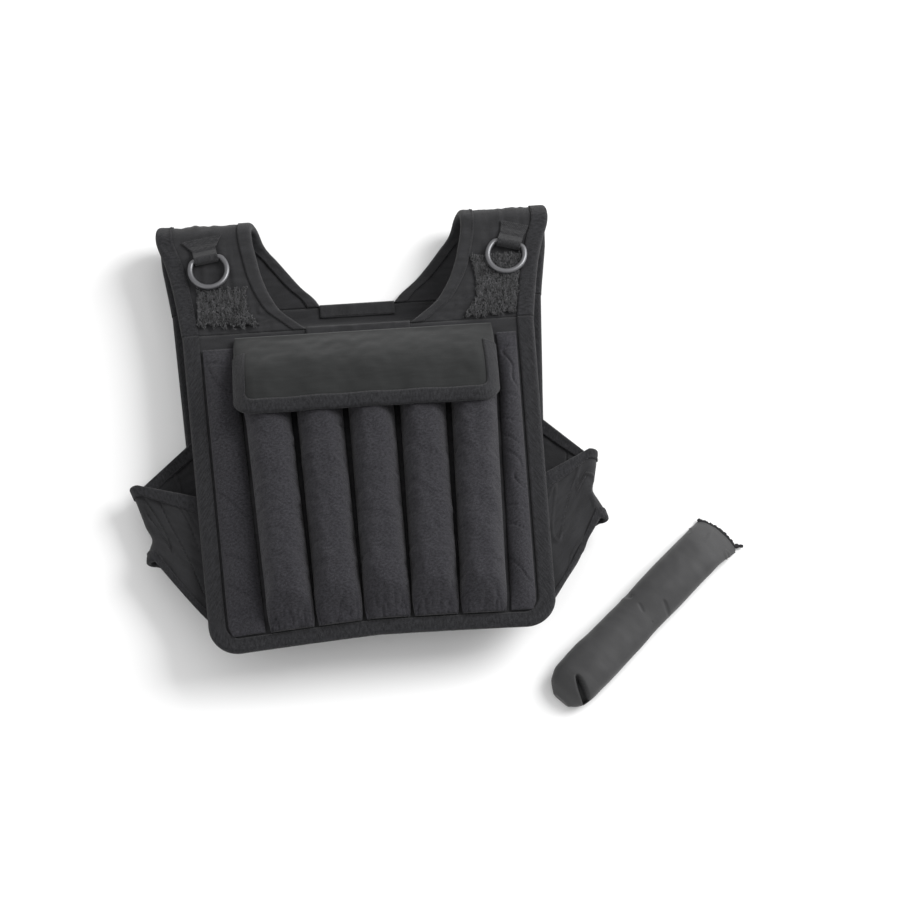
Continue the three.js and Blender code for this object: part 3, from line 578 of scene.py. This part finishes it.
# Flap: one piece of canvas, sewn down along the neck and lying over the mouths of the pockets. Its three
# free sides are bound with fuzzy tape, and it dips a little between the bars.
FLAP_SHIFT = 0.0045
FLAP_HALF = 0.1305
FLAP_TOP, FLAP_DROP = 0.102, 0.100
FLAP_FOLDS, FLAP_RIPPLES = 0.0008, 0.0005
FLAP_WALL = 0.003
FLAP_CORNER = 0.020
FLAP_DIP = 0.0016
FLAP_SHOULDER = 0.84           # share of the half width where the flap starts to turn down
FLAP_FORM = [
    {"at": 0, "height": 0.97}, {"at": 0.06, "height": 1}, {"at": 0.13, "height": 1},
    {"at": 0.2, "height": 1.02}, {"at": 0.4, "height": 1.02}, {"at": 0.55, "height": 0.86},
    {"at": 0.7, "height": 0.58}, {"at": 0.85, "height": 0.28}, {"at": 1, "height": 0},
]
flap_canvas = cloth_material("flap_canvas", (0.0145, 0.015, 0.015), (0.0185, 0.0195, 0.0195), (0.02, 0.003),
                             0.0008, 0.85, 0.25)


def flap_lift(x, y):
    """Height of the middle of the flap at a place in plan."""
    v = np.clip((y - FLAP_TOP + FLAP_DROP) / FLAP_DROP, 0, 1)
    turn = np.clip((abs(x - FLAP_SHIFT) / FLAP_HALF - FLAP_SHOULDER) / (1 - FLAP_SHOULDER), 0, 1)
    over = mix(0.3, 1, np.sqrt(1 - turn ** 2))
    apart = (1 - np.cos(2 * math.pi * (x - ROW_SHIFT_TOP) / PITCH_TOP)) / 2
    dip = FLAP_DIP * apart * (1 - smooth_step(v, 0.45, 0.65)) * (turn == 0)
    clearance = (TAPE_WALL + 3 * SEAT_GAP) * (1 - smooth_step(v, 0.8, 1))
    height = np.maximum(POCKET_HEIGHT * read(FLAP_FORM, v, "height") * over - dip, 0)
    return front_face(x, y) + height + clearance + FLAP_WALL / 2


def flap_place(u, v):
    half = half_width(FLAP_DROP, v * FLAP_DROP, FLAP_HALF, FLAP_HALF, FLAP_CORNER)
    x, y = FLAP_SHIFT + u * half, FLAP_TOP - FLAP_DROP + v * FLAP_DROP
    return points_of(x, y, flap_lift(x + 0 * y, y + 0 * x))


def flap():
    u, v = np.linspace(-1, 1, 151)[None], np.linspace(0, 1, 61)[:, None]
    middle = flap_place(u, v)
    x, y = middle[..., 0], middle[..., 1]
    inside = smooth_step(np.minimum(1 - abs(u), v + 0 * u), 0.06, 0.16) * smooth_step(1 - v, 0, 0.1)
    middle[..., 2] += inside * (FLAP_FOLDS * wander(x, y, 0.03, 51) + FLAP_RIPPLES * wander(x, y, 0.011, 52))
    return slab("pocket_flap_canvas", middle, FLAP_WALL, flap_canvas)


def flap_tape():
    rises = np.linspace(0, 0.7, 300) ** 2 / 0.7
    sides = [flap_place(-1, rises[::-1]), flap_place(np.linspace(-1, 1, 160), 0), flap_place(1, rises)]
    edge = evenly(np.concatenate(sides)[:, :2], 0.002)
    along = unit(np.gradient(edge, axis=0))
    inward = np.stack([-along[:, 1], along[:, 0]], -1)
    plan = edge[:, None] + inward[:, None] * np.array([0, 0.0015, 0.004, 0.0065, 0.009, 0.0115])[:, None]
    middle = points_of(plan[..., 0], plan[..., 1], flap_lift(plan[..., 0], plan[..., 1]))
    return tape("flap_binding_tape", middle, FLAP_WALL / 2, grosgrain)


flap_binding = flap_tape()
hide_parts("flap_binding")
flap_cloth = flap()
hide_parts("pocket_flap")

# Shoulder straps: padded nylon straps from the front panel, over the shoulder and down to the back panel,
# bound with tape on both edges. Their half widths run from the middle of the vest to the neck side and
# the arm side, and the places along a strap from its front seam.
STRAP_THICKNESS = 0.006
STRAP_LEVEL, STRAP_FLOOR = 0.054, 0.0049
SHOULDER_START = 0.222
NECK_SHIFT = 0.004             # how far the straps lean to the right at the neck side
STRAP_FOLDS, STRAP_RIPPLES, SEAM_CREASES = 0.0007, 0.0008, 0.0016
STRAP_TURN = (STRAP_LEVEL - STRAP_FLOOR) / 2
STRAP_FORM = [
    {"at": 0, "neck": 0.056, "arm": 0.1755}, {"at": 0.010, "neck": 0.068, "arm": 0.1767},
    {"at": 0.023, "neck": 0.0828, "arm": 0.1786}, {"at": 0.040, "neck": 0.0936, "arm": 0.1811},
    {"at": 0.062, "neck": 0.1027, "arm": 0.1849}, {"at": 0.088, "neck": 0.109, "arm": 0.1915},
    {"at": 0.112, "neck": 0.113, "arm": 0.199}, {"at": 0.143, "neck": 0.111, "arm": 0.199},
    {"at": 0.158, "neck": 0.1071, "arm": 0.199}, {"at": 0.174, "neck": 0.102, "arm": 0.1987},
    {"at": 0.189, "neck": 0.091, "arm": 0.198}, {"at": 0.210, "neck": 0.0758, "arm": 0.195},
    {"at": 0.226, "neck": 0.0631, "arm": 0.1925}, {"at": 0.239, "neck": 0.0498, "arm": 0.1905},
    {"at": 0.250, "neck": 0.042, "arm": 0.189},
]
STRAP_FRONT = SHOULDER_START - FRONT_TOP - SEAM_GAP
STRAP_BACK = SHOULDER_START - BACK_TOP - SEAM_GAP
STRAP_LENGTH = STRAP_FRONT + math.pi * STRAP_TURN + STRAP_BACK


def strap_point(side, far, half):
    """A point of a strap at a distance along it and half a width from the middle of the vest."""
    turn = np.clip((far - STRAP_FRONT) / STRAP_TURN, 0, math.pi)
    straight = np.minimum(far - STRAP_FRONT, 0) - np.maximum(far - STRAP_LENGTH + STRAP_BACK, 0)
    y = SHOULDER_START + straight + STRAP_TURN * np.sin(turn)
    return points_of(side * half, y, STRAP_FLOOR + STRAP_TURN * (1 + np.cos(turn)))


def strap(side, name):
    far = np.linspace(0, STRAP_LENGTH, 150)[:, None]
    across = np.linspace(0, 1, 61)[None]
    row = far * STRAP_FORM[-1]["at"] / STRAP_LENGTH
    level = np.minimum(np.minimum(far / STRAP_FRONT, (STRAP_LENGTH - far) / STRAP_BACK), 1)
    lean = side * NECK_SHIFT * np.sin(level * math.pi / 2)
    neck, arm = read(STRAP_FORM, row, "neck") + lean, read(STRAP_FORM, row, "arm")
    middle = strap_point(side, far, mix(neck, arm, across))
    wide = arm - neck
    from_tapes = np.minimum(across * wide - NARROW_TAPE_WIDTH, (1 - across) * wide - TAPE_WIDTH)
    inside = smooth_step(from_tapes, -0.001, 0.012)
    x = middle[..., 0]
    seed = 61 + side
    folds = STRAP_FOLDS * wander(x, far, (0.03, 0.02), seed)
    folds += STRAP_RIPPLES * wander(x, far, (0.006, 0.03), seed + 3)
    at_seam = 1 - smooth_step(far, 0.02, 0.05)
    folds -= SEAM_CREASES * creases(x, far + 0.35 * abs(x), (0.06, 0.016), seed + 6, 0.16) * at_seam
    shift = facing(middle) * STRAP_THICKNESS / 2
    upper = middle + side * shift * (1 + (folds * inside / (STRAP_THICKNESS / 2))[..., None])
    piece = skin(f"shoulder_strap_{name}_cloth", upper, middle - side * shift, nylon)
    edges = []
    for edge, start, sign, width in (("neck", neck, 1, NARROW_TAPE_WIDTH), ("arm", arm, -1, TAPE_WIDTH)):
        inward = width * TAPE_SHARES[None]
        grid = strap_point(side, far, start + sign * inward)
        cloth = nylon if edge == "neck" else grosgrain
        edges.append(tape(f"{edge}_tape_{name}", grid, STRAP_THICKNESS / 2, cloth))
    return piece, *edges


for side, name in ((-1, "left"), (1, "right")):
    cloth, neck_edge, arm_edge = strap(side, name)
    for piece, node in ((cloth, "shoulder_strap"), (neck_edge, "neck_binding"), (arm_edge, "arm_binding")):
        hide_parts(f"{node}_{name}")

# Loop patches: fastening tape with a curly pile, sewn onto the straps above their front seams. The lower
# edge is bunched up, and the right one is longer.
PATCH_WALL = 0.0015
PATCH_BUNCH = 0.005
PATCHES = {
    "left": {"low": 0.007, "high": 0.050, "from_neck": (0.036, 0.014), "from_arm": (0.014, 0.020),
             "rows": 27, "ragged": 1},
    "right": {"low": 0.002, "high": 0.073, "from_neck": (0.050, 0.014), "from_arm": (0.014, 0.014),
              "rows": 25, "ragged": 0.2},
}
BUNCHING = [{"at": at, "rise": rise} for at, rise in
            zip(np.linspace(0, 1, 7), (0, 0.5, 0.15, 0.8, 0.3, 1, 0.45))]
CURL_SPACING = 0.0005          # along a row
CURL_RADIUS = 0.0007, 0.0016
CURL_STRAND = 0.00026
CURL_STEPS = 7
CURL_TURN = -0.2, 1.2          # half turns from where a curl leaves the backing to where it ends
ROW_SPREAD, HEADING_SPREAD, LEAN_SPREAD = 0.2, 0.6, 0.45
RAGGED_DEPTH, RAGGED_WAVES = 0.12, 40
PATCH_POINTS = 41
STRAP_FACE = STRAP_LEVEL + STRAP_THICKNESS / 2
pile = cloth_material("loop_pile", (0.010, 0.010, 0.011), (0.030, 0.030, 0.032), (0.004, 0.003), 0.001, 1, 1)
curl_yarn = cloth_material("curl_yarn", (0.020, 0.020, 0.021), (0.12, 0.12, 0.124), (0.004, 0.012),
                           0.001, 0.7, 0)


def patch_grid(side, name, us, vs):
    form = PATCHES[name]
    above = mix(form["low"], form["high"], vs)
    near = read(STRAP_FORM, above, "neck") + mix(*form["from_neck"], vs)
    far = read(STRAP_FORM, above, "arm") - mix(*form["from_arm"], vs)
    bunched = PATCH_BUNCH * read(BUNCHING, us, "rise") * (1 - vs)
    level = STRAP_FACE + SEAM_GAP + PATCH_WALL / 2
    return points_of(side * mix(near, far, us), FRONT_TOP + above + bunched, level)


def pile_loops(side, name, seed):
    """Short curls of yarn that stand on a patch in rows, each a bent strand of three sides."""
    chance = np.random.default_rng(seed)
    form = PATCHES[name]
    count = int(form["rows"] * (form["high"] - form["low"]) / CURL_SPACING)
    us = (chance.integers(0, form["rows"], count) + chance.normal(0.5, ROW_SPREAD, count)) / form["rows"]
    vs = chance.uniform(-0.02, 1, count)
    vs += RAGGED_DEPTH * form["ragged"] * np.sin(us * RAGGED_WAVES) * chance.random(count)
    root = patch_grid(side, name, us, vs)[:, None]
    heading = chance.normal(math.pi / 2, HEADING_SPREAD, count)[:, None]
    along = points_of(np.cos(heading), np.sin(heading), 0 * heading)
    upright = unit(points_of(*chance.normal(0, LEAN_SPREAD, (2, count, 1)), 1 + 0 * heading))
    turn = np.linspace(*CURL_TURN, CURL_STEPS)[None, :, None] * math.pi
    radius = chance.uniform(*CURL_RADIUS, (count, 1, 1))
    outwards = along * np.cos(turn) + upright * np.sin(turn)
    path = root + outwards * radius + upright * (radius + PATCH_WALL) * 0.6
    aside = unit(np.cross(along, upright))
    round_strand = np.arange(3) * math.tau / 3
    out = outwards[:, :, None] * np.cos(round_strand)[:, None]
    points = path[:, :, None] + CURL_STRAND * (out + aside[:, :, None] * np.sin(round_strand)[:, None])
    index = np.arange(count * CURL_STEPS * 3).reshape(count, CURL_STEPS, 3)
    after = np.roll(index, -1, 2)
    faces = np.stack([index[:, :-1], index[:, 1:], after[:, 1:], after[:, :-1]], -1).reshape(-1, 4)
    points = points.reshape(-1, 3)
    return mesh_of(f"loop_patch_{name}_curls", points, faces, curl_yarn, points[:, :2])


for side, name in ((-1, "left"), (1, "right")):
    shares = np.linspace(0, 1, PATCH_POINTS)
    middle = patch_grid(side, name, shares[None], shares[:, None])
    piece = slab(f"loop_patch_{name}_pile", middle, PATCH_WALL, pile)
    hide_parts(f"loop_patch_{name}")
    pile_loops(side, name, 61 + side)

# D-rings: bent grey wire, each held by its straight bar in a loop of webbing that is sewn onto the strap.
RING_WIRE = 0.0027             # radius
RING_HALF = 0.019
RING_BAR_HALF = 0.0146
RING_DEPTH, RING_SIDE, RING_CORNER = 0.033, 0.013, 0.011
RING_PLAY = 0.0006
RING_SIDES = 20
WEBBING_WALL = 0.0015
WEBBING_RING_WIDTH = 0.0245
WEBBING_TAIL, WEBBING_REACH = 0.014, 0.027
RINGS = {
    "left": {"above_seam": 0.086, "from_arm": 0.0389, "turn": 10, "webbing": 0.042},
    "right": {"above_seam": 0.083, "from_arm": 0.0293, "turn": -17, "webbing": 0.029},
}
webbing_cloth = cloth_material("ring_webbing", (0.012, 0.012, 0.013), (0.034, 0.034, 0.036), (0.004, 0.002),
                               0.0012, 0.85, 0.9)


def metal_material():
    material = bpy.data.materials.new("ring_metal")
    material.use_nodes = True
    tree = material.node_tree
    shader = tree.nodes["Principled BSDF"]
    wear = tree.nodes.new("ShaderNodeTexNoise")
    wear.inputs["Scale"].default_value = 260
    wear.inputs["Detail"].default_value = 4
    tone = tree.nodes.new("ShaderNodeValToRGB")
    tone.color_ramp.elements[0].color = (0.10, 0.10, 0.105, 1)
    tone.color_ramp.elements[1].color = (0.20, 0.20, 0.21, 1)
    tree.links.new(wear.outputs["Fac"], tone.inputs["Fac"])
    tree.links.new(tone.outputs["Color"], shader.inputs["Base Color"])
    shader.inputs["Metallic"].default_value = 0.7
    shader.inputs["Roughness"].default_value = 0.42
    return material


ring_metal = metal_material()


def place_on_strap(name, side, points):
    """Points beside a ring's bar, moved to where that ring lies on its strap."""
    form = RINGS[name]
    above = form["above_seam"]
    out = read(STRAP_FORM, above, "arm") - form["from_arm"]
    turn = math.radians(form["turn"])
    x = points[..., 0] * math.cos(turn) - points[..., 1] * math.sin(turn)
    y = points[..., 0] * math.sin(turn) + points[..., 1] * math.cos(turn)
    x += side * out
    return points_of(x, y + FRONT_TOP + above, points[..., 2] + STRAP_FACE)


LOOP_RADIUS = RING_WIRE + RING_PLAY + WEBBING_WALL / 2
BAR_RISE = SEAM_GAP + WEBBING_WALL / 2 + LOOP_RADIUS


def webbing(name, side):
    lower = SEAM_GAP + WEBBING_WALL / 2
    upper = lower + WEBBING_WALL + SEAM_GAP
    wide = RINGS[name]["webbing"]
    path = [(WEBBING_REACH, lower, wide),
            (WEBBING_TAIL + 0.005, lower, mix(WEBBING_RING_WIDTH, wide, 0.4)),
            (WEBBING_TAIL, upper, WEBBING_RING_WIDTH),
            (WEBBING_TAIL - 0.004, upper + SEAM_GAP, WEBBING_RING_WIDTH)]
    path += [(LOOP_RADIUS * math.cos(turn), BAR_RISE + LOOP_RADIUS * math.sin(turn), WEBBING_RING_WIDTH)
             for turn in np.radians(np.arange(60, 271, 10))]
    path += [(WEBBING_TAIL / 2, lower, WEBBING_RING_WIDTH),
             (WEBBING_TAIL - 0.001, lower, WEBBING_RING_WIDTH)]
    path = evenly(np.array(path), 0.0008)
    across = np.linspace(-0.5, 0.5, 31)[None]
    middle = points_of(across * path[:, 2:], path[:, :1], path[:, 1:2])
    middle = place_on_strap(name, side, middle)
    return slab(f"ring_webbing_{name}_cloth", middle, WEBBING_WALL, webbing_cloth)


def ring(name, side):
    reach = RING_DEPTH - RING_SIDE
    corner = math.asin(RING_CORNER / reach)
    turn = np.linspace(corner, -math.pi - corner, 64)
    arc = np.stack([RING_HALF * np.cos(turn), reach * np.sin(turn) - RING_SIDE], -1)
    bar = np.linspace((-RING_BAR_HALF, 0), (RING_BAR_HALF, 0), 20)
    path = np.concatenate([arc, bar])
    for _ in range(2):
        path = (np.roll(path, 1, 0) + 2 * path + np.roll(path, -1, 0)) / 4
    along = unit(np.roll(path, -1, 0) - np.roll(path, 1, 0))
    aside = np.stack([along[:, 1], -along[:, 0]], -1)
    turn = np.arange(RING_SIDES) * math.tau / RING_SIDES
    plan = path[:, None] + RING_WIRE * aside[:, None] * np.cos(turn)[:, None]
    points = points_of(plan[..., 0], plan[..., 1], BAR_RISE + RING_WIRE * np.sin(turn)[None])
    index = np.arange(points.shape[0] * RING_SIDES).reshape(-1, RING_SIDES)
    around, onward = np.roll(index, -1, 1), np.roll(index, -1, 0)
    walls = np.stack([index, around, np.roll(onward, -1, 1), onward], -1).reshape(-1, 4)
    points = place_on_strap(name, side, points).reshape(-1, 3)
    return mesh_of(f"d_ring_{name}_wire", points, walls, ring_metal, body=f"{name}_ring")


for side, name in ((-1, "left"), (1, "right")):
    strip, wire = webbing(name, side), ring(name, side)
    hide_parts(f"ring_webbing_{name}")
    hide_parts(f"d_ring_{name}")

# Side panels: nylon cloth from under the front panel's edge, out to a fold, and back onto the back
# panel's edge, with narrow tape along the top and lower edges. The folds are dented where they sag.
SIDE_CLOTH = 0.002
SIDE_TUCK = 0.007
SIDE_FOLD_RADIUS = 0.007
SIDE_OUT = 0.0605              # from the front panel's top corner out to the folds
SIDE_REACH = FRONT_HALF_TOP + SIDE_OUT
SIDE_FOLDS, SIDE_CREASES = 0.0014, 0.002
SIDE_FRONT_TOP, SIDE_BACK_LENGTH = -0.070, 0.134
SIDES = {
    "left": {"fold_top": -0.045, "fold_length": 0.079, "front_length": 0.146, "back_top": 0.014,
             "bow": 0.005},
    "right": {"fold_top": -0.036, "fold_length": 0.072, "front_length": 0.152, "back_top": 0.021,
              "bow": 0.008},
}
SIDE_FORM = {
    "left": [{"at": 0, "out": 1}, {"at": 0.12, "out": 0.985}, {"at": 0.3, "out": 0.967},
             {"at": 0.5, "out": 0.945}, {"at": 0.7, "out": 0.916}, {"at": 0.88, "out": 0.932},
             {"at": 1, "out": 0.936}],
    "right": [{"at": 0, "out": 0.978}, {"at": 0.12, "out": 0.974}, {"at": 0.35, "out": 0.955},
              {"at": 0.6, "out": 0.94}, {"at": 0.76, "out": 0.965}, {"at": 0.88, "out": 0.985},
              {"at": 1, "out": 0.995}],
}
SIDE_INSET = EDGE_THICKNESS / 2 + 2 * (SEAM_GAP + TAPE_WALL) + SIDE_CLOTH / 2 + 2 * SEAM_GAP
SIDE_FRONT, SIDE_BACK = FRONT_LEVEL - SIDE_INSET, BACK_LEVEL + SIDE_INSET


def side_grid(name, side, at, counts=(46, 15, 46)):
    """Rows of points at shares of the way down a side panel, each from its front seam round to its back
    seam."""
    form = SIDES[name]
    front_y, back_y = SIDE_FRONT_TOP - at * form["front_length"], form["back_top"] - at * SIDE_BACK_LENGTH
    front = points_of(front_side_at(side, front_y - FRONT_HEM) - side * SIDE_TUCK, front_y, SIDE_FRONT)
    back_half = half_width(BACK_HEIGHT, back_y - BACK_HEM, BACK_HALF_HEM, BACK_HALF_TOP, BACK_CORNER)
    back = points_of(side * (back_half - SIDE_TUCK), back_y, SIDE_BACK)
    reach = SIDE_REACH * read(SIDE_FORM[name], at, "out")[:, None]
    turn = np.linspace(math.pi / 2, -math.pi / 2, counts[1])[None]
    level = (SIDE_FRONT + SIDE_BACK) / 2
    fold_y = (form["fold_top"] - at * form["fold_length"])[:, None]
    fold = points_of(side * (reach - SIDE_FOLD_RADIUS * (1 - np.cos(turn))), fold_y,
                     level + SIDE_FOLD_RADIUS * np.sin(turn))
    parts = []
    for start, end, count in ((front, fold[:, 0], counts[0]), (fold[:, -1], back, counts[2])):
        share = np.linspace(0, 1, count)[None, :, None]
        line = mix(start[:, None], end[:, None], share)
        line[..., 1] -= at[:, None] * form["bow"] * np.sin(math.pi * share[..., 0])
        parts.append(line)
    return np.concatenate([parts[0], fold[:, 1:-1], parts[1]], 1)


def side_panel(name, side):
    at = np.linspace(0, 1, 90)
    middle = side_grid(name, side, at)
    far = lengths(middle)
    across = np.linspace(0, 1, middle.shape[1])
    inside = (smooth_step(np.minimum(at, 1 - at), 0.05, 0.16)[:, None]
              * smooth_step(np.minimum(across, 1 - across), 0.05, 0.15))
    seed = 71 + side
    folds = SIDE_FOLDS * wander(far[..., 0], far[..., 1], (0.03, 0.05), seed)
    slanted = far[..., 0] + 0.5 * far[..., 1]
    folds -= SIDE_CREASES * creases(slanted, far[..., 1], (0.03, 0.06), seed + 3, 0.15)
    middle = middle + facing(middle) * (folds * inside)[..., None]
    return slab(f"side_panel_{name}_cloth", middle, SIDE_CLOTH, nylon)


def side_tape(name, side, which):
    at = np.array([0, 0.02, 0.05, 0.08, 0.105, 0.12])
    rows = at if which == "top" else 1 - at
    middle = side_grid(name, side, rows).transpose(1, 0, 2)
    return tape(f"side_{which}_tape_{name}", middle, SIDE_CLOTH / 2, grosgrain)


for side, name in ((-1, "left"), (1, "right")):
    edges = [side_tape(name, side, which) for which in ("top", "lower")]
    cloth = side_panel(name, side)
    for piece, node in zip((cloth, *edges), ("side_panel", "side_top_binding", "side_lower_binding")):
        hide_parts(f"{node}_{name}")

# Weight bar: a sleeve of smooth nylon filled with iron sand, taken out of the vest. One end is gathered
# into a tuck, and the other is sewn flat and frayed. It is dented where the sand has shifted.
BAR_LENGTH, BAR_WIDTH, BAR_HEIGHT = 0.236, 0.048, 0.031
BAR_PLACE = {"x": 0.2605, "y": -0.2055, "turn": 43.5}
BAR_FLAT = math.radians(50)
BAR_FORM = [
    {"at": 0, "width": 0.42, "height": 0.3}, {"at": 0.02, "width": 0.72, "height": 0.62},
    {"at": 0.06, "width": 0.93, "height": 0.88}, {"at": 0.14, "width": 1, "height": 1},
    {"at": 0.32, "width": 1, "height": 0.97}, {"at": 0.5, "width": 0.95, "height": 0.93},
    {"at": 0.64, "width": 0.99, "height": 1}, {"at": 0.8, "width": 0.98, "height": 0.97},
    {"at": 0.9, "width": 0.98, "height": 0.8}, {"at": 0.96, "width": 1.02, "height": 0.4},
    {"at": 1, "width": 1.04, "height": 0.09},
]
BAR_MARKS = [
    {"along": -0.1037, "across": -0.016, "turn": 25, "long": 0.037, "wide": 0.0048, "deep": 0.013},
    {"along": 0, "across": 0.001, "turn": 22, "long": 0.011, "wide": 0.0018, "deep": 0.0009},
    {"along": 0.0176, "across": -0.018, "turn": 24, "long": 0.016, "wide": 0.003, "deep": 0.0014},
    {"along": 0.004, "across": 0.022, "turn": 10, "long": 0.016, "wide": 0.006, "deep": 0.0016},
]
BAR_END = 0.007                # how far the flat end bulges
BAR_FOLDS, BAR_RIPPLES, END_CREASES = 0.0007, 0.0002, 0.0012
BAR_ROWS, BAR_COLUMNS = 210, 57
FRAY_WIDTH, FRAY_WAVES, FRAY_TATTERS = 0.0018, 0.0010, 0.0006
BAR_SEAM_WALL = 0.002
BAR_SEAM = [
    {"at": 0, "along": 0.1188, "across": 0.026}, {"at": 0.25, "along": 0.1225, "across": 0.016},
    {"at": 0.5, "along": 0.125, "across": 0.0034}, {"at": 0.72, "along": 0.1236, "across": -0.0113},
    {"at": 0.88, "along": 0.1225, "across": -0.019}, {"at": 1, "along": 0.1276, "across": -0.0265},
]
bar_cloth = cloth_material("bar_nylon", (0.036, 0.036, 0.037), (0.044, 0.044, 0.045), (0.03, 0.01),
                           0.0006, 0.6, 0.12)


def bar_grid(start, end, at):
    """Rows of points round part of the bar, with the undersides of its sections flat on the table."""
    turn = np.linspace(start, end, BAR_COLUMNS)[None]
    width, height = (read(BAR_FORM, at, column) for column in ("width", "height"))
    sunk = np.minimum(-np.sin(turn) / math.sin(BAR_FLAT), 1)
    rise = np.where(np.sin(turn) > 0, 1 + np.sin(turn), 1 - sunk)
    aside = np.cos(turn) * BAR_WIDTH * width / 2
    return points_of((at - 0.5) * BAR_LENGTH, aside, rise * BAR_HEIGHT * height / 2)


def on_table(along, across, z):
    """Places on the bar, turned to where it lies."""
    turn = math.radians(BAR_PLACE["turn"])
    return points_of(along * math.cos(turn) - across * math.sin(turn) + BAR_PLACE["x"],
                     along * math.sin(turn) + across * math.cos(turn) + BAR_PLACE["y"], z)


def marks_on(along, across):
    """How deep the tuck and the creases are sunk at places on the bar."""
    sunk = 0 * along
    for mark in BAR_MARKS:
        turn = math.radians(mark["turn"])
        a, c = along - mark["along"], across - mark["across"]
        far = a * math.sin(turn) + c * math.cos(turn)
        off = abs(a * math.cos(turn) - c * math.sin(turn))
        wide = mark["wide"] * np.sqrt(np.maximum(1 - (2 * far / mark["long"]) ** 2, 1e-6))
        sunk = np.maximum(sunk, mark["deep"] * smooth_step(1 - off / wide, 0, 0.7))
    return sunk


def weight_bar():
    at = np.linspace(0, 1, BAR_ROWS)[:, None]
    upper = bar_grid(math.radians(178), math.radians(2), at)
    lower = bar_grid(math.radians(182), math.radians(358), at)
    along, across = upper[..., 0], upper[..., 1]
    folds = BAR_FOLDS * wander(along, across, (0.05, 0.02), 81)
    folds += BAR_RIPPLES * wander(along, across, 0.01, 82)
    folds -= END_CREASES * creases(along, across, (0.012, 0.02), 83, 0.2) * smooth_step(at, 0.86, 0.97)
    upper = upper + facing(upper) * (folds * smooth_step(np.minimum(at, 1 - at), 0, 0.06))[..., None]
    sill = mix(BAR_SEAM_WALL, BAR_HEIGHT / 2, np.minimum(abs(2 * across) / BAR_WIDTH, 1) ** 4)
    marked = np.maximum(upper[..., 2] - marks_on(along, across), sill)
    upper[..., 2] = np.minimum(upper[..., 2], marked)
    for grid in (upper, lower):
        end = BAR_END * np.sqrt(np.maximum(1 - (2 * grid[..., 1] / BAR_WIDTH) ** 2, 0))
        grid[..., 0] += end * smooth_step(at, 0.88, 1)
    upper, lower = (on_table(*np.moveaxis(grid, -1, 0)) for grid in (upper, lower))
    return skin("weight_bar_sleeve", upper, lower, bar_cloth)


def bar_seam():
    """The frayed end of the sleeve, sewn flat with a tail at one corner."""
    far = np.linspace(0, 1, 90)
    line = np.stack([read(BAR_SEAM, far, column) for column in ("along", "across")], -1)
    step = unit(np.gradient(line, axis=0))
    frayed = FRAY_WIDTH + FRAY_WAVES * wander(far, 0 * far, 0.05, 84)
    frayed += FRAY_TATTERS * wander(far, 0 * far, 0.014, 85)
    half = frayed * (1 - 0.4 * smooth_step(far, 0.9, 1)) * np.linspace(-1, 1, 5)[:, None]
    z = BAR_SEAM_WALL + 0.0006 * (1 + wander(far, 0 * far, 0.1, 86))
    middle = on_table(line[:, 0] - step[:, 1] * half, line[:, 1] + step[:, 0] * half, z)
    return slab("weight_bar_seam", middle, BAR_SEAM_WALL, nylon)


bar = weight_bar()
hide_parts("weight_bar")
bar_seam()
